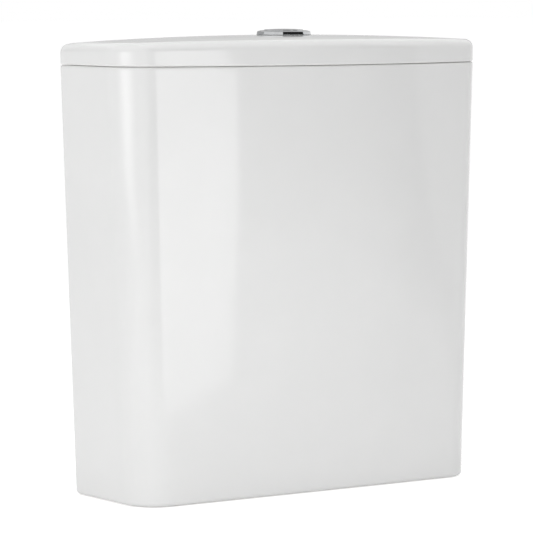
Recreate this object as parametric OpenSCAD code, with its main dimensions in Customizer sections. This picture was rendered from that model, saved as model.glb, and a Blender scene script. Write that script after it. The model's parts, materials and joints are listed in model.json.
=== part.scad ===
// Close-coupled toilet cistern: a glazed ceramic tank and lid, a two-button flush
// control in the lid, a push-rod flush valve and a bottom-inlet fill valve.
// Millimetres. +Z is up, -Y is the front, and the origin is under the middle of
// the tank, on the plane of its foot.

/* [Tank] */
// Outer width at the rim
tank_w = 365; // [340:1:390]
// Outer depth at the rim, over the middle of the bowed front
tank_d = 140; // [134:1:150]
// Height of the rim above the foot
tank_h = 357; // [350:1:400]
// Outer width at the foot
base_w = 338; // [330:1:350]
// Outer depth at the foot
base_d = 109.5; // [108:0.5:120]
// How far the front bows forward at the rim
front_bow = 40; // [25:1:45]
// How far the front bows forward at the foot
base_bow = 0.5; // [0.3:0.1:4]
// Radius of the front upright corners at the rim
corner_r = 40; // [32:1:46]
// Radius of the front upright corners at the foot
base_corner_r = 28; // [24:1:32]
// Radius of the back upright corners
back_corner_r = 6; // [4:0.5:8]
// Thickness of the ceramic wall
wall = 9; // [8:0.5:10]
// Thickness of the ceramic floor
floor_t = 12; // [10:0.5:14]
// Depth of the hollow under the floor
recess_h = 30; // [28:1:34]
// Width of the foot that the tank stands on
foot_w = 12; // [10:0.5:13]
// Rounding of the foot's outer edge
foot_edge_r = 3.5; // [2:0.5:4]
// Rounding of the rim's edges
rim_edge_r = 2; // [1:0.25:2.5]
// Radius of the hollow's inner corners
cast_r = 8; // [6:0.5:10]
// Rounding where the floor meets the walls
floor_fillet = 6; // [4:0.5:8]

/* [Lid] */
// Height from the rim to the crest of the lid
lid_h = 24; // [23:0.5:28]
// Fall of the top from the crest to each end
lid_crown = 5; // [2:0.5:6]
// Fall of the top from the middle to the front and back
lid_cross_crown = 1; // [0.5:0.25:2]
// Thickness of the top
lid_t = 9; // [8:0.5:10]
// Thickness of the lid's skirt
lid_skirt = 10; // [8.5:0.5:12]
// Rounding of the lid's upper edge
lid_edge_r = 7; // [4:0.5:8]
// Rounding of the lid's lower edge
lid_foot_r = 1.5; // [1:0.25:2]
// Gap between the lid and the rim that it rests on
lid_gap = 0.3; // [0.2:0.05:0.5]
// Length of the lugs that hold the lid in the tank
lug_drop = 6; // [4:0.5:10]
// Width of a lid lug
lug_w = 24; // [16:1:30]
// Thickness of a lid lug
lug_t = 6; // [5:0.5:8]
// Gap between a lug and the tank wall
lug_gap = 2; // [1.5:0.25:3]

/* [Flush button] */
// Place of the button's centre behind the middle of the lid
button_y = 6.5; // [4:0.5:9]
// Outer radius of the chrome bezel
bezel_r = 23; // [22.5:0.25:25]
// Height of the bezel above its gasket
bezel_h = 4.3; // [4:0.1:5]
// Radius of the bezel's shoulder
bezel_shoulder_r = 3.6; // [2.5:0.1:3.9]
// Thickness of the gasket under the bezel
gasket_t = 0.5; // [0.4:0.1:1]
// Radius of the hole in the lid
lid_hole_r = 19.6; // [19.2:0.1:20.4]
// Outer radius of the bezel's threaded sleeve
sleeve_r = 18.6; // [18.4:0.1:18.8]
// Wall of the bezel's sleeve
sleeve_wall = 1.6; // [1.3:0.1:1.7]
// Length of the sleeve below the gasket
sleeve_l = 30; // [28:0.5:32]
// Thickness of the shelf at the foot of the sleeve
shelf_t = 3; // [2:0.25:4]
// Height of the nut that clamps the bezel
bezel_nut_h = 8; // [6:0.5:10]
// Outer radius of the nut that clamps the bezel
bezel_nut_r = 27; // [26:0.5:29]
// Radius over both button caps
button_r = 16.6; // [16.2:0.1:16.7]
// Where the line between the two buttons lies, from the centre
button_split = -3; // [-4:0.25:-1]
// Gap between the two buttons
button_gap = 0.8; // [0.6:0.1:1.2]
// Thickness of a button cap at its rim
button_cap_t = 5; // [4:0.25:6]
// Crown of the button caps
button_crown = 0.6; // [0.3:0.1:1]
// Travel of each button
button_travel = 8; // [6:0.5:9]
// Radius of a push rod
rod_r = 2.2; // [1.9:0.1:2.4]
// Distance of each push rod from the middle
rod_x = 8.5; // [8.25:0.25:9.5]
// Place of the push rods in front of the button's centre
rod_front = 4; // [2:0.5:5]
// Radius of the boss that holds a push rod
boss_r = 4; // [3.6:0.1:4.3]
// Length of the boss below its cap
boss_l = 8; // [6:0.5:9]
// Wire radius of a button spring
spring_wire_r = 0.4; // [0.3:0.05:0.5]
// Mean radius of a button spring
spring_r = 3.5; // [3.3:0.1:3.6]
// Number of turns of a button spring
spring_turns = 5; // [4:1:6]

/* [Flush valve] */
// Distance of the valve's axis from the tank's back face
valve_back = 55; // [53:0.5:56]
// Outer radius of the valve's threaded tail
tail_r = 23.9; // [23.5:0.1:24.3]
// Radius of the outlet bore in the tail
outlet_r = 20.5; // [20:0.1:21]
// Radius of the throat above the outlet bore
throat_r = 19.4; // [18.5:0.1:19.6]
// Height of the tail's end above the foot's plane
tail_end_z = 6; // [4:0.5:8]
// Radius of the flush hole in the floor
flush_hole_r = 26; // [25.5:0.25:27]
// Radius of the valve's flange
flange_r = 33; // [32.5:0.5:34]
// Thickness of the valve's flange
flange_t = 3; // [2.5:0.25:4]
// Thickness of the rubber washers on the floor
washer_t = 3; // [2.5:0.25:4]
// Height of the seat lip above the flange
seat_h = 4; // [3:0.5:5]
// Outer radius of the back nut under the floor
back_nut_r = 30.5; // [30:0.5:31]
// Height of the back nut under the floor
back_nut_h = 12; // [10:0.5:14]
// Outer radius of the coupling seal
coupling_r = 37.5; // [36:0.5:38]
// Height of the coupling seal
coupling_h = 21; // [18:0.5:22]
// Outer radius of the basket
basket_r = 30; // [29.5:0.25:31]
// Wall of the basket
basket_wall = 2.2; // [1.8:0.1:2.6]
// Height of the basket
basket_h = 70; // [64:1:76]
// Thickness of the basket's deck
deck_t = 3; // [2.5:0.25:4]
// Width of a window in the basket
window_w = 30; // [26:1:33]
// Height of a window in the basket
window_h = 44; // [36:1:48]
// Outer radius of the overflow tube
tube_r = 13; // [12:0.25:13.25]
// Wall of the overflow tube
tube_wall = 1.8; // [1.4:0.1:2.2]
// Depth of the overflow tube's mouth below the rim
overflow_drop = 72; // [69:1:79]
// Gap round the overflow tube and the rods where they slide
slide_gap = 0.4; // [0.3:0.05:0.5]
// Distance of the bridge legs from the middle
leg_x = 22; // [21.5:0.25:22.5]
// Thickness of a bridge leg
leg_t = 4; // [3.5:0.25:4.5]
// Width of a bridge leg
leg_w = 12; // [10:0.5:14]
// Height of the sockets that hold the bridge legs
socket_h = 40; // [30:1:44]
// Wall of the sockets that hold the bridge legs
socket_wall = 1.8; // [1.4:0.1:2]
// Gap between a bridge leg and its socket
socket_gap = 0.2; // [0.1:0.05:0.3]
// Depth of the lever pin below the rim
lever_drop = 45; // [43:0.5:48]
// Height of a lever cheek below and above its pin
cheek_h = 22; // [20:0.5:24]
// Pitch of the height marks on the bridge legs
notch_pitch = 6; // [5:0.5:8]
// Depth of a height mark on the bridge legs
notch_d = 1.2; // [0.8:0.1:1.6]
// Width of the half-flush float
half_float_w = 24; // [20:0.5:25]
// Depth of the half-flush float
half_float_d = 18; // [15:0.5:20]
// Height of the half-flush float
half_float_h = 40; // [36:1:46]
// Wall of the cup-shaped floats
cup_wall = 1.6; // [1.2:0.1:2]
// Radius of the lever pin
pin_r = 1.5; // [1.25:0.05:1.75]
// Gap between a hinge pin and its bore
pin_gap = 0.05; // [0.03:0.01:0.08]
// From the lever pin to the push rod
lever_in = 12; // [11:0.25:13]
// From the lever pin to the lift hook
lever_out = 14; // [13:0.25:15]
// Width of a lever
lever_w = 6; // [5:0.25:7]
// Radius of a lever's rounded ends
pad_r = 3; // [2.5:0.1:3.2]
// Gap between a push rod and its lever at rest
press_gap = 0.4; // [0.35:0.05:0.6]
// Gap between a lever and its lift hook at rest
hook_gap = 0.3; // [0.25:0.05:0.5]

/* [Fill valve] */
// Distance of the fill valve's axis from the foot's left side
fill_side = 54; // [50:1:58]
// Distance of the fill valve's axis from the tank's back face
fill_back = 55; // [50:0.5:58]
// Outer radius of the inlet's thread
inlet_r = 10.48; // [10.2:0.01:10.6]
// Bore radius of the inlet
inlet_bore_r = 7; // [6.5:0.1:7.4]
// Height of the inlet's end above the foot's plane
inlet_end_z = 4; // [3:0.5:6]
// Radius of the inlet hole in the floor
inlet_hole_r = 12.5; // [12:0.25:13]
// Radius of the fill valve's flange
inlet_flange_r = 17; // [16:0.5:18]
// Height of the inlet's back nut
inlet_nut_h = 9; // [8:0.5:11]
// Outer radius of the riser
riser_r = 10; // [9.5:0.1:10.1]
// Depth of the float's stop below the head's seat
float_drop = 90; // [86:1:96]
// Outer radius of the float
float_r = 26; // [24:0.5:26]
// Height of the float
float_h = 55; // [48:1:58]
// Height of the lug on the float
float_lug_h = 10; // [8:0.5:14]
// Width of the lug on the float
float_lug_w = 10; // [9:0.5:12]
// Travel of the float
float_travel = 16; // [12:0.5:17]
// Depth of the head's seat below the rim
head_drop = 117; // [114:1:122]
// Outer radius of the head
head_r = 16; // [15.5:0.25:16.5]
// Height of the head
head_h = 26; // [25:0.5:28]
// Thickness of the head's cap
cap_t = 6; // [5:0.5:7]
// Height of the float lever's pin above the head's cap
float_pin_rise = 14; // [13:0.5:16]
// Half of the float lever's width
float_lever_half_w = 4; // [3.6:0.1:4.4]
// Gap between the float lever and each ear
ear_gap = 0.5; // [0.3:0.1:0.7]
// Thickness of an ear on the cap
ear_t = 3; // [2.5:0.1:3.2]
// Width of an ear on the cap
ear_w = 10; // [9:0.5:11]
// Radius of the pilot post on the cap
pilot_r = 3; // [2.5:0.1:3.2]
// From the middle of the head to the float lever's pin
float_pin_x = 9; // [8.5:0.25:9.5]
// From the float lever's pin to the link rod
float_arm = 22; // [21:0.5:24]
// Radius of the link rod
link_r = 1.6; // [1.4:0.1:1.8]

/* [Fixing holes] */
// Distance between the two coupling bolt holes
bolt_spacing = 150; // [146:1:160]
// Radius of a coupling bolt hole
bolt_hole_r = 5.5; // [5:0.25:6.5]

/* [Hidden] */
$fn = 64;
eps = 0.01;

// Facets of the ceramic outline and its roundings
corner_steps = 8;
back_steps = 3;
front_steps = 14;
round_steps = 3;
wall_steps = 7;
inner_steps = 5;
lid_run = 30;

// Tank levels
back_y = tank_d / 2;
floor_z = recess_h + floor_t;
washer_z = floor_z + washer_t;
valve_y = back_y - valve_back;
fill_x = base_w / 2 - fill_side;
fill_y = back_y - fill_back;
overflow_z = tank_h - overflow_drop;
head_z = tank_h - head_drop;
float_stop_z = head_z - float_drop;
recess_draft = 1.5;
recess_fillet = 4;

// Lid levels
lid_z = tank_h + lid_gap;
lid_top_z = tank_h + lid_h;
seat_sink = 0.3;
button_seat_z = lid_top_z - seat_sink;
lid_under_z = lid_top_z - lid_t;
lid_fillet = 5;

// Button levels
bezel_z = button_seat_z + gasket_t;
bezel_top_z = bezel_z + bezel_h;
well_r = sleeve_r - sleeve_wall;
shelf_z = bezel_z - sleeve_l;
cap_z = bezel_top_z - button_cap_t;
boss_z = cap_z - boss_l;
rod_y = button_y - rod_front;
rod_seat_l = 5;
rod_fit = 0.1;
spring_z = shelf_z + shelf_t;
spring_l = boss_z - spring_z;
spring_rings = 8;
spring_sides = 6;

// Flush valve levels
flange_z = washer_z + flange_t;
seat_z = flange_z + seat_h;
stop_gap = 0.3;
seal_t = 3;
seal_r = tail_r + 1.6;
seal_z = seat_z + stop_gap;
carrier_z = seal_z + seal_t;
carrier_t = 5;
deck_z = flange_z + basket_h;
pin_y = rod_y + lever_in;
pin_z = tank_h - lever_drop;
swing = button_travel / lever_in * 180 / PI;
lift = lever_out * button_travel / lever_in;
rod_tip_z = pin_z + lever_in * sin(swing / 2) + pad_r + press_gap;
hook_z = pin_z - lever_out * sin(swing / 2) + pad_r + hook_gap;
hook_y = pin_y + lever_out;
hook_t = 5;
arm_t = 3;
arm_gap = 1;
arm_y = hook_y + pad_r + arm_gap;
guide_z = overflow_z - 45;
guide_t = 6;
collar_z = guide_z + guide_t + 4;
collar_h = 12;
lift_foot_z = deck_z + half_float_h / 2;

// Fill valve levels
strainer_h = 12;
head_socket_h = 18;
riser_lip = 2;
chamber_r = 13.2;
diaphragm_t = 2.5;
cap_z0 = head_z + head_h;
float_z = float_stop_z + stop_gap;
float_swing = float_travel / float_arm * 180 / PI;
float_pin_z = cap_z0 + cap_t + float_pin_rise;
link_x = float_pin_x + float_arm * (1 + cos(float_swing / 2)) / 2;
link_tip_z = float_pin_z - float_travel / 2;
lever_nub_r = 2.5;
collar_gap = 1;
link_collar_t = 2;
link_head_t = 2;
pilot_gap = 0.4;

CERAMIC = "white";
CHROME = "silver";
PLASTIC = "whitesmoke";
RUBBER = "dimgray";
ACCENT = "steelblue";

// Shared shapes

function lerp(a, b, t) = a + (b - a) * t;

// Points along an arc from angle a0 to a1, both ends included.
function arc(centre, r, a0, a1, steps) =
    [for (i = [0:steps]) let(a = lerp(a0, a1, i / steps)) centre + r * [cos(a), sin(a)]];

// Plan outline of the ceramic at height fraction t, moved inwards by e: straight
// sides and back, a bowed front, and a fillet at each upright corner.
function section(t, e) = let(
    w = lerp(base_w, tank_w, t) / 2 - e,
    yb = back_y - e,
    yf = back_y - lerp(base_d, tank_d, t) + e,
    bow = lerp(base_bow, front_bow, t) * pow(w / (w + e), 2),
    rc = max(lerp(base_corner_r, corner_r, t) - e, cast_r),
    rb = e < back_corner_r - 1 ? back_corner_r - e : cast_r,
    bow_r = (w * w + bow * bow) / (2 * bow),
    bow_y = yf + bow_r,
    turn = asin((w - rc) / (bow_r - rc)),
    corner_y = bow_y - (bow_r - rc) * cos(turn),
    front = arc([0, bow_y], bow_r, 270 - turn, 270 + turn, front_steps)
) concat(
    arc([w - rc, corner_y], rc, turn - 90, 0, corner_steps),
    arc([w - rb, yb - rb], rb, 0, 90, back_steps),
    arc([rb - w, yb - rb], rb, 90, 180, back_steps),
    arc([rc - w, corner_y], rc, 180, 270 - turn, corner_steps),
    [for (i = [1:front_steps - 1]) front[i]]
);

function at_z(points, z) = [for (p = points) [p.x, p.y, z]];

// One ring of the tank: its outline at height z, moved inwards by e.
function tank_ring(z, e) = at_z(section(z / tank_h, e), z);

// The height of the lid's top over a point of its plan.
function crown_z(p) = lid_top_z - lid_crown * pow(p.x / (tank_w / 2), 2)
    - lid_cross_crown * pow(p.y / (tank_d / 2), 2);

// The lid's plan moved inwards by e, with points added along its straight runs, so
// that the dome also rises along the back and the sides.
lid_runs = let(p = section(1, 0)) [for (i = [0:len(p) - 1])
    max(1, round(norm(p[(i + 1) % len(p)] - p[i]) / lid_run))];
function lid_plan(e) = let(p = section(1, e)) [for (i = [0:len(p) - 1], k = [0:lid_runs[i] - 1])
    lerp(p[i], p[(i + 1) % len(p)], k / lid_runs[i])];

// Rings that follow the lid's top, a given distance below it.
function on_crown(points, drop) = [for (p = points) [p.x, p.y, crown_z(p) - drop]];

function shrink(points, k) = [for (p = points) [p.x * k, button_y + (p.y - button_y) * k]];

// A closed skin through rings of equal point counts, capped at both ends.
module skin(rings) {
    n = len(rings[0]);
    last = (len(rings) - 1) * n;
    sides = [for (j = [0:len(rings) - 2], i = [0:n - 1])
        let(a = j * n + i, b = j * n + (i + 1) % n) each [[a, a + n, b + n], [a, b + n, b]]];
    caps = [[for (i = [0:n - 1]) i], [for (i = [0:n - 1]) last + n - 1 - i]];
    polyhedron([for (r = rings) each r], concat(sides, caps), convexity = 8);
}

// A ring of rectangular section.
module ring(r_out, r_in, h) {
    difference() {
        cylinder(r = r_out, h = h);
        translate([0, 0, -1]) cylinder(r = r_in, h = h + 2);
    }
}

// A box given by its lowest and highest corners.
module block(low, high) {
    translate(low) cube(high - low);
}

// A rectangle with rounded corners, about the origin.
module rounded(size, r) {
    square([size.x - 2 * r, size.y], center = true);
    square([size.x, size.y - 2 * r], center = true);
    for (x = [-1, 1], y = [-1, 1])
        translate([x * (size.x / 2 - r), y * (size.y / 2 - r)]) circle(r = r);
}

// A nut with grip lugs, for hand or strap tightening.
module lugged_nut(r_out, r_in, h, lugs, lug_out) {
    difference() {
        union() {
            cylinder(r = r_out, h = h);
            for (i = [0:lugs - 1]) rotate(i * 360 / lugs)
                translate([r_out - 2, -2.5, 0]) cube([2 + lug_out, 5, h]);
        }
        translate([0, 0, -1]) cylinder(r = r_in, h = h + 2);
    }
}

module at_button() { translate([0, button_y, 0]) children(); }
module at_valve() { translate([0, valve_y, 0]) children(); }
module at_fill() { translate([-fill_x, fill_y, 0]) children(); }

// Ceramic

module cistern_tank() {
    quarter = [for (i = [0:round_steps]) i * 90 / round_steps];
    recess = concat(
        [for (a = quarter) tank_ring(recess_h - recess_fillet * (1 - cos(a)),
            foot_w + recess_draft + recess_fillet * (1 - sin(a)))],
        [tank_ring(rim_edge_r, foot_w), tank_ring(0, foot_w - rim_edge_r)]);
    foot = [for (a = quarter) tank_ring(foot_edge_r * (1 - cos(a)), foot_edge_r * (1 - sin(a)))];
    outside = [for (i = [1:wall_steps])
        tank_ring(lerp(foot_edge_r, tank_h - rim_edge_r, i / wall_steps), 0)];
    rim = concat(
        [for (a = quarter) if (a > 0)
            tank_ring(tank_h - rim_edge_r * (1 - sin(a)), rim_edge_r * (1 - cos(a)))],
        [for (a = quarter)
            tank_ring(tank_h - rim_edge_r * (1 - cos(a)), wall - rim_edge_r * (1 - sin(a)))]);
    inside = [for (i = [1:inner_steps])
        tank_ring(lerp(tank_h - rim_edge_r, floor_z + floor_fillet, i / inner_steps), wall)];
    floor_edge = [for (a = quarter) if (a > 0)
        tank_ring(floor_z + floor_fillet * (1 - sin(a)), wall + floor_fillet * (1 - cos(a)))];
    color(CERAMIC) difference() {
        skin(concat(recess, foot, outside, rim, inside, floor_edge));
        at_valve() translate([0, 0, recess_h - 1]) cylinder(r = flush_hole_r, h = floor_t + 2);
        at_fill() translate([0, 0, recess_h - 1]) cylinder(r = inlet_hole_r, h = floor_t + 2);
        for (side = [-1, 1]) translate([side * bolt_spacing / 2, valve_y, recess_h - 1])
            cylinder(r = bolt_hole_r, h = floor_t + 2);
    }
}

module cistern_lid() {
    quarter = [for (i = [0:round_steps + 1]) i * 90 / (round_steps + 1)];
    plan = lid_plan(0);
    hollow = lid_plan(lid_skirt + lid_fillet);
    middle = 0.05;
    under = concat(
        [at_z(shrink(hollow, middle), lid_under_z)],
        [for (k = [0.35, 0.7, 1]) on_crown(shrink(hollow, k), lid_t)],
        [for (a = quarter) if (a > 0) on_crown(lid_plan(lid_skirt + lid_fillet * (1 - sin(a))),
            lid_t + lid_fillet * (1 - cos(a)))],
        [at_z(lid_plan(lid_skirt), lid_z)]);
    side = concat(
        [for (a = quarter) at_z(lid_plan(lid_foot_r * (1 - sin(a))), lid_z + lid_foot_r * (1 - cos(a)))],
        [for (a = quarter) on_crown(lid_plan(lid_edge_r * (1 - cos(a))), lid_edge_r * (1 - sin(a)))]);
    rounded = lid_plan(lid_edge_r);
    top = concat(
        [for (k = [0.8, 0.55, 0.3]) on_crown(shrink(rounded, k), 0)],
        [at_z(shrink(plan, middle), lid_top_z)]);
    lug_x = tank_w / 2 - wall - lug_gap;
    lug_y = back_y - wall - lug_gap;
    lug_low = tank_h - lug_drop;
    lug_top = lid_top_z - lid_crown - lid_t + 3;
    join_z = lid_z + 2;
    join = lid_skirt / 2;
    color(CERAMIC) difference() {
        union() {
            skin(concat(under, side, top));
            for (turn = [0, 1]) mirror([turn, 0, 0]) {
                block([lug_x - lug_t, -lug_w / 2, lug_low], [lug_x, lug_w / 2, lug_top]);
                block([lug_x - lug_t, -lug_w / 2, join_z], [tank_w / 2 - join, lug_w / 2, lug_top]);
                translate([tank_w / 4, 0, 0]) {
                    block([-lug_w / 2, lug_y - lug_t, lug_low], [lug_w / 2, lug_y, lug_top]);
                    block([-lug_w / 2, lug_y - lug_t, join_z], [lug_w / 2, back_y - join, lug_top]);
                }
            }
        }
        at_button() {
            translate([0, 0, lid_z]) cylinder(r = lid_hole_r, h = lid_h + 5);
            translate([0, 0, button_seat_z]) cylinder(r = bezel_r + 0.5, h = lid_h);
            translate([0, 0, lid_z]) cylinder(r = bezel_nut_r + 4, h = lid_under_z - lid_z);
        }
    }
}

// Flush button

module button_bezel() {
    flange = [bezel_r - bezel_shoulder_r, bezel_h - bezel_shoulder_r];
    color(CHROME) at_button() difference() {
        union() {
            translate([0, 0, bezel_z]) rotate_extrude() {
                square([bezel_r - bezel_shoulder_r, bezel_h]);
                square([bezel_r, bezel_h - bezel_shoulder_r]);
                translate(flange) intersection() {
                    circle(r = bezel_shoulder_r);
                    square(bezel_shoulder_r);
                }
            }
            translate([0, 0, shelf_z]) cylinder(r = sleeve_r, h = sleeve_l);
        }
        translate([0, 0, shelf_z + shelf_t]) cylinder(r = well_r, h = sleeve_l + bezel_h);
        for (side = [-1, 1]) translate([side * rod_x, -rod_front, shelf_z - 1])
            cylinder(r = rod_r + slide_gap, h = shelf_t + 2);
    }
}

module bezel_gasket() {
    color(RUBBER) at_button() translate([0, 0, button_seat_z])
        ring(bezel_r - 0.4, sleeve_r + rod_fit, gasket_t);
}

module bezel_nut() {
    color(PLASTIC) at_button() translate([0, 0, lid_under_z - bezel_nut_h])
        lugged_nut(bezel_nut_r - 3, sleeve_r + rod_fit, bezel_nut_h, 6, 3);
}

// Both caps in one crowned disc, which each button takes its share of.
module button_disc() {
    crown_r = (button_r * button_r + button_crown * button_crown) / (2 * button_crown);
    translate([0, 0, cap_z]) rotate_extrude() intersection() {
        square([button_r, button_cap_t + button_crown]);
        translate([0, button_cap_t + button_crown - crown_r]) circle(r = crown_r);
    }
}

module flush_button(side) {
    edge = button_split + side * button_gap / 2;
    color(CHROME) at_button() {
        intersection() {
            button_disc();
            block([side > 0 ? edge : -button_r - 1, -button_r - 1, cap_z - 1],
                [side > 0 ? button_r + 1 : edge, button_r + 1, cap_z + button_cap_t + 2]);
        }
        translate([side * rod_x, -rod_front, boss_z]) difference() {
            cylinder(r = boss_r, h = boss_l + eps);
            translate([0, 0, -1]) cylinder(r = rod_r + rod_fit, h = rod_seat_l + 1);
        }
    }
}

module full_flush_button() { flush_button(1); }
module half_flush_button() { flush_button(-1); }

// A push rod from its lever up into the boss of its button.
module push_rod(side) {
    color(PLASTIC) translate([side * rod_x, rod_y, rod_tip_z])
        cylinder(r = rod_r, h = boss_z + rod_seat_l - rod_tip_z);
}

module full_flush_rod() { push_rod(1); }
module half_flush_rod() { push_rod(-1); }

// Points along the middle of a button spring's wire.
spring_path = [for (i = [0:spring_turns * spring_rings])
    [spring_r * cos(i * 360 / spring_rings), spring_r * sin(i * 360 / spring_rings),
        spring_wire_r + (spring_l - 2 * spring_wire_r) * i / (spring_turns * spring_rings)]];

// A button spring: one wire swept along a helix.
module button_spring(side) {
    rings = [for (i = [0:len(spring_path) - 1]) let(
        a = i * 360 / spring_rings,
        out = [cos(a), sin(a), 0]
    ) [for (k = [0:spring_sides - 1]) let(b = k * 360 / spring_sides)
        spring_path[i] + spring_wire_r * (cos(b) * out + [0, 0, sin(b)])]];
    color(CHROME) translate([side * rod_x, rod_y, spring_z]) skin(rings);
}

module full_button_spring() { button_spring(1); }
module half_button_spring() { button_spring(-1); }

// Flush valve, fixed pieces

module flush_valve_base() {
    color(PLASTIC) at_valve() rotate_extrude() difference() {
        union() {
            translate([0, tail_end_z]) square([tail_r, seat_z - tail_end_z]);
            translate([0, washer_z]) square([flange_r, flange_t]);
        }
        translate([0, tail_end_z - 1]) square([outlet_r, recess_h - tail_end_z + 1]);
        translate([0, recess_h - eps]) square([throat_r, seat_z]);
        translate([(throat_r + tail_r) / 2 + 1, seat_z - 1]) square([tail_r, 2]);
    }
}

module valve_base_washer() {
    color(RUBBER) at_valve() translate([0, 0, floor_z])
        ring(flange_r, tail_r + rod_fit, washer_t);
}

module valve_back_nut() {
    color(PLASTIC) at_valve() translate([0, 0, recess_h - back_nut_h])
        lugged_nut(back_nut_r - 3, tail_r + rod_fit, back_nut_h, 8, 3);
}

// The soft ring that seals the outlet to the pan, tapered towards its foot.
module coupling_seal() {
    top = recess_h - lid_gap;
    inner = back_nut_r + 0.5;
    taper = 4;
    color(RUBBER) at_valve() rotate_extrude() polygon([
        [inner, top], [inner, top - coupling_h], [coupling_r - taper, top - coupling_h],
        [coupling_r, top - coupling_h / 2], [coupling_r, top]]);
}

// A cage with four windows, a deck that guides the overflow tube and two sockets.
module valve_basket() {
    window_mid = flange_z + (basket_h - deck_t) / 2;
    window_r = 6;
    band_h = 5;
    socket = [leg_t, leg_w] + 2 * (socket_gap + socket_wall) * [1, 1];
    pocket = [leg_t, leg_w] + 2 * socket_gap * [1, 1];
    color(PLASTIC) at_valve() difference() {
        union() {
            translate([0, 0, flange_z]) cylinder(r = basket_r, h = basket_h);
            translate([0, 0, flange_z]) cylinder(r = basket_r + 1.2, h = band_h);
            for (side = [-1, 1]) translate([side * leg_x, 0, deck_z - eps])
                linear_extrude(socket_h) rounded(socket, socket_wall);
        }
        translate([0, 0, flange_z - 1]) cylinder(r = basket_r - basket_wall, h = basket_h - deck_t + 1);
        translate([0, 0, deck_z - deck_t - 1]) cylinder(r = tube_r + slide_gap, h = deck_t + 2);
        for (i = [0:3]) rotate(i * 90) translate([0, 0, window_mid]) rotate([-90, 0, 0])
            linear_extrude(basket_r + 1) rounded([window_w, window_h], window_r);
        for (side = [-1, 1]) translate([side * leg_x, 0, deck_z + socket_h / 2 + 1])
            cube([pocket.x, pocket.y, socket_h + 2], center = true);
    }
}

// Side view of one bridge leg and its cheek: a leg with height marks, a gusset and
// a rounded cheek round the pin's hole.
module bridge_side() {
    front = rod_y - valve_y - 10;
    back = pin_y - valve_y + 8;
    low = pin_z + 6 - cheek_h;
    gusset = 12;
    marks_low = deck_z + socket_h + notch_pitch;
    marks = floor((guide_z - marks_low) / notch_pitch) - 1;
    difference() {
        union() {
            translate([-leg_w / 2, deck_z]) square([leg_w, low + 1 - deck_z]);
            translate([(front + back) / 2, low + cheek_h / 2]) rounded([back - front, cheek_h], 4);
            polygon([[-leg_w / 2, low - gusset], [leg_w / 2, low - gusset], [back - 4, low + 1],
                [front + 4, low + 1]]);
        }
        translate([pin_y - valve_y, pin_z]) circle(r = pin_r + pin_gap);
        for (i = [0:marks]) translate([leg_w / 2, marks_low + i * notch_pitch])
            square([2 * notch_d, notch_pitch / 3], center = true);
    }
}

// The bridge: two legs with cheeks that carry the lever pin, a beam between them, a
// ring that guides the overflow tube and an eye for the lift rod.
module bridge_frame() {
    front = rod_y - valve_y - 10;
    beam = [2 * leg_x, 5, cheek_h - 8];
    ring_r = tube_r + slide_gap + 3;
    eye = [-rod_x, arm_y - valve_y + arm_t / 2];
    eye_r = rod_r + slide_gap + 2.5;
    color(PLASTIC) at_valve() difference() {
        union() {
            for (side = [-1, 1]) translate([side * leg_x - leg_t / 2, 0, 0]) rotate([90, 0, 90])
                linear_extrude(leg_t) bridge_side();
            translate([-leg_x, front, pin_z + 10 - cheek_h]) cube(beam);
            translate([0, 0, guide_z]) {
                cylinder(r = ring_r, h = guide_t);
                block([-leg_x, -leg_w / 2, 0], [leg_x, leg_w / 2, guide_t]);
                block([eye.x - eye_r, 0, 0], [eye.x + eye_r, eye.y, guide_t]);
                translate(eye) cylinder(r = eye_r, h = guide_t);
            }
        }
        translate([0, 0, guide_z - 1]) cylinder(r = tube_r + slide_gap, h = guide_t + 2);
        translate([eye.x, eye.y, guide_z - 1]) cylinder(r = rod_r + slide_gap, h = guide_t + 2);
    }
}

module lever_pin() {
    color(CHROME) translate([0, pin_y, pin_z]) rotate([0, 90, 0])
        cylinder(r = pin_r, h = 2 * leg_x + leg_t, center = true);
}

// Flush levers: each turns on the pin, a push rod bears on its front end and its
// back end lifts a hook.
module flush_lever(side) {
    hub_r = 4.5;
    web = 3.6;
    slim_x = lever_out - pad_r - 4;
    hub_in = stop_gap + 0.1;
    hub_out = leg_x - leg_t / 2 - 0.4;
    hub_low = side > 0 ? hub_in - rod_x : rod_x - hub_out;
    hub_l = hub_out - hub_in;
    color(ACCENT) translate([side * rod_x, pin_y, pin_z]) rotate([-swing / 2, 0, 0])
        rotate([90, 0, 90]) difference() {
            union() {
                translate([0, 0, hub_low]) cylinder(r = hub_r, h = hub_l);
                translate([0, 0, -lever_w / 2]) {
                    translate([-lever_in, 0]) cylinder(r = pad_r, h = lever_w);
                    translate([lever_out, 0]) cylinder(r = pad_r, h = lever_w);
                    linear_extrude(lever_w) polygon([[-lever_in, -web / 2], [0, -web], [lever_out, -web / 2],
                        [lever_out, web / 2], [slim_x, web / 2], [0, web], [-lever_in, web / 2]]);
                }
            }
            translate([0, 0, hub_low - 1]) cylinder(r = pin_r + pin_gap, h = hub_l + 2);
        }
}

module full_flush_lever() { flush_lever(1); }
module half_flush_lever() { flush_lever(-1); }

// The hook that a lever lifts, over the end of an upright.
module lift_hook(side) {
    block([side * rod_x - lever_w / 2, hook_y - pad_r - 1, hook_z],
        [side * rod_x + lever_w / 2, arm_y + arm_t, hook_z + hook_t]);
}

// Flush valve, pieces that the full flush lifts

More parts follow.
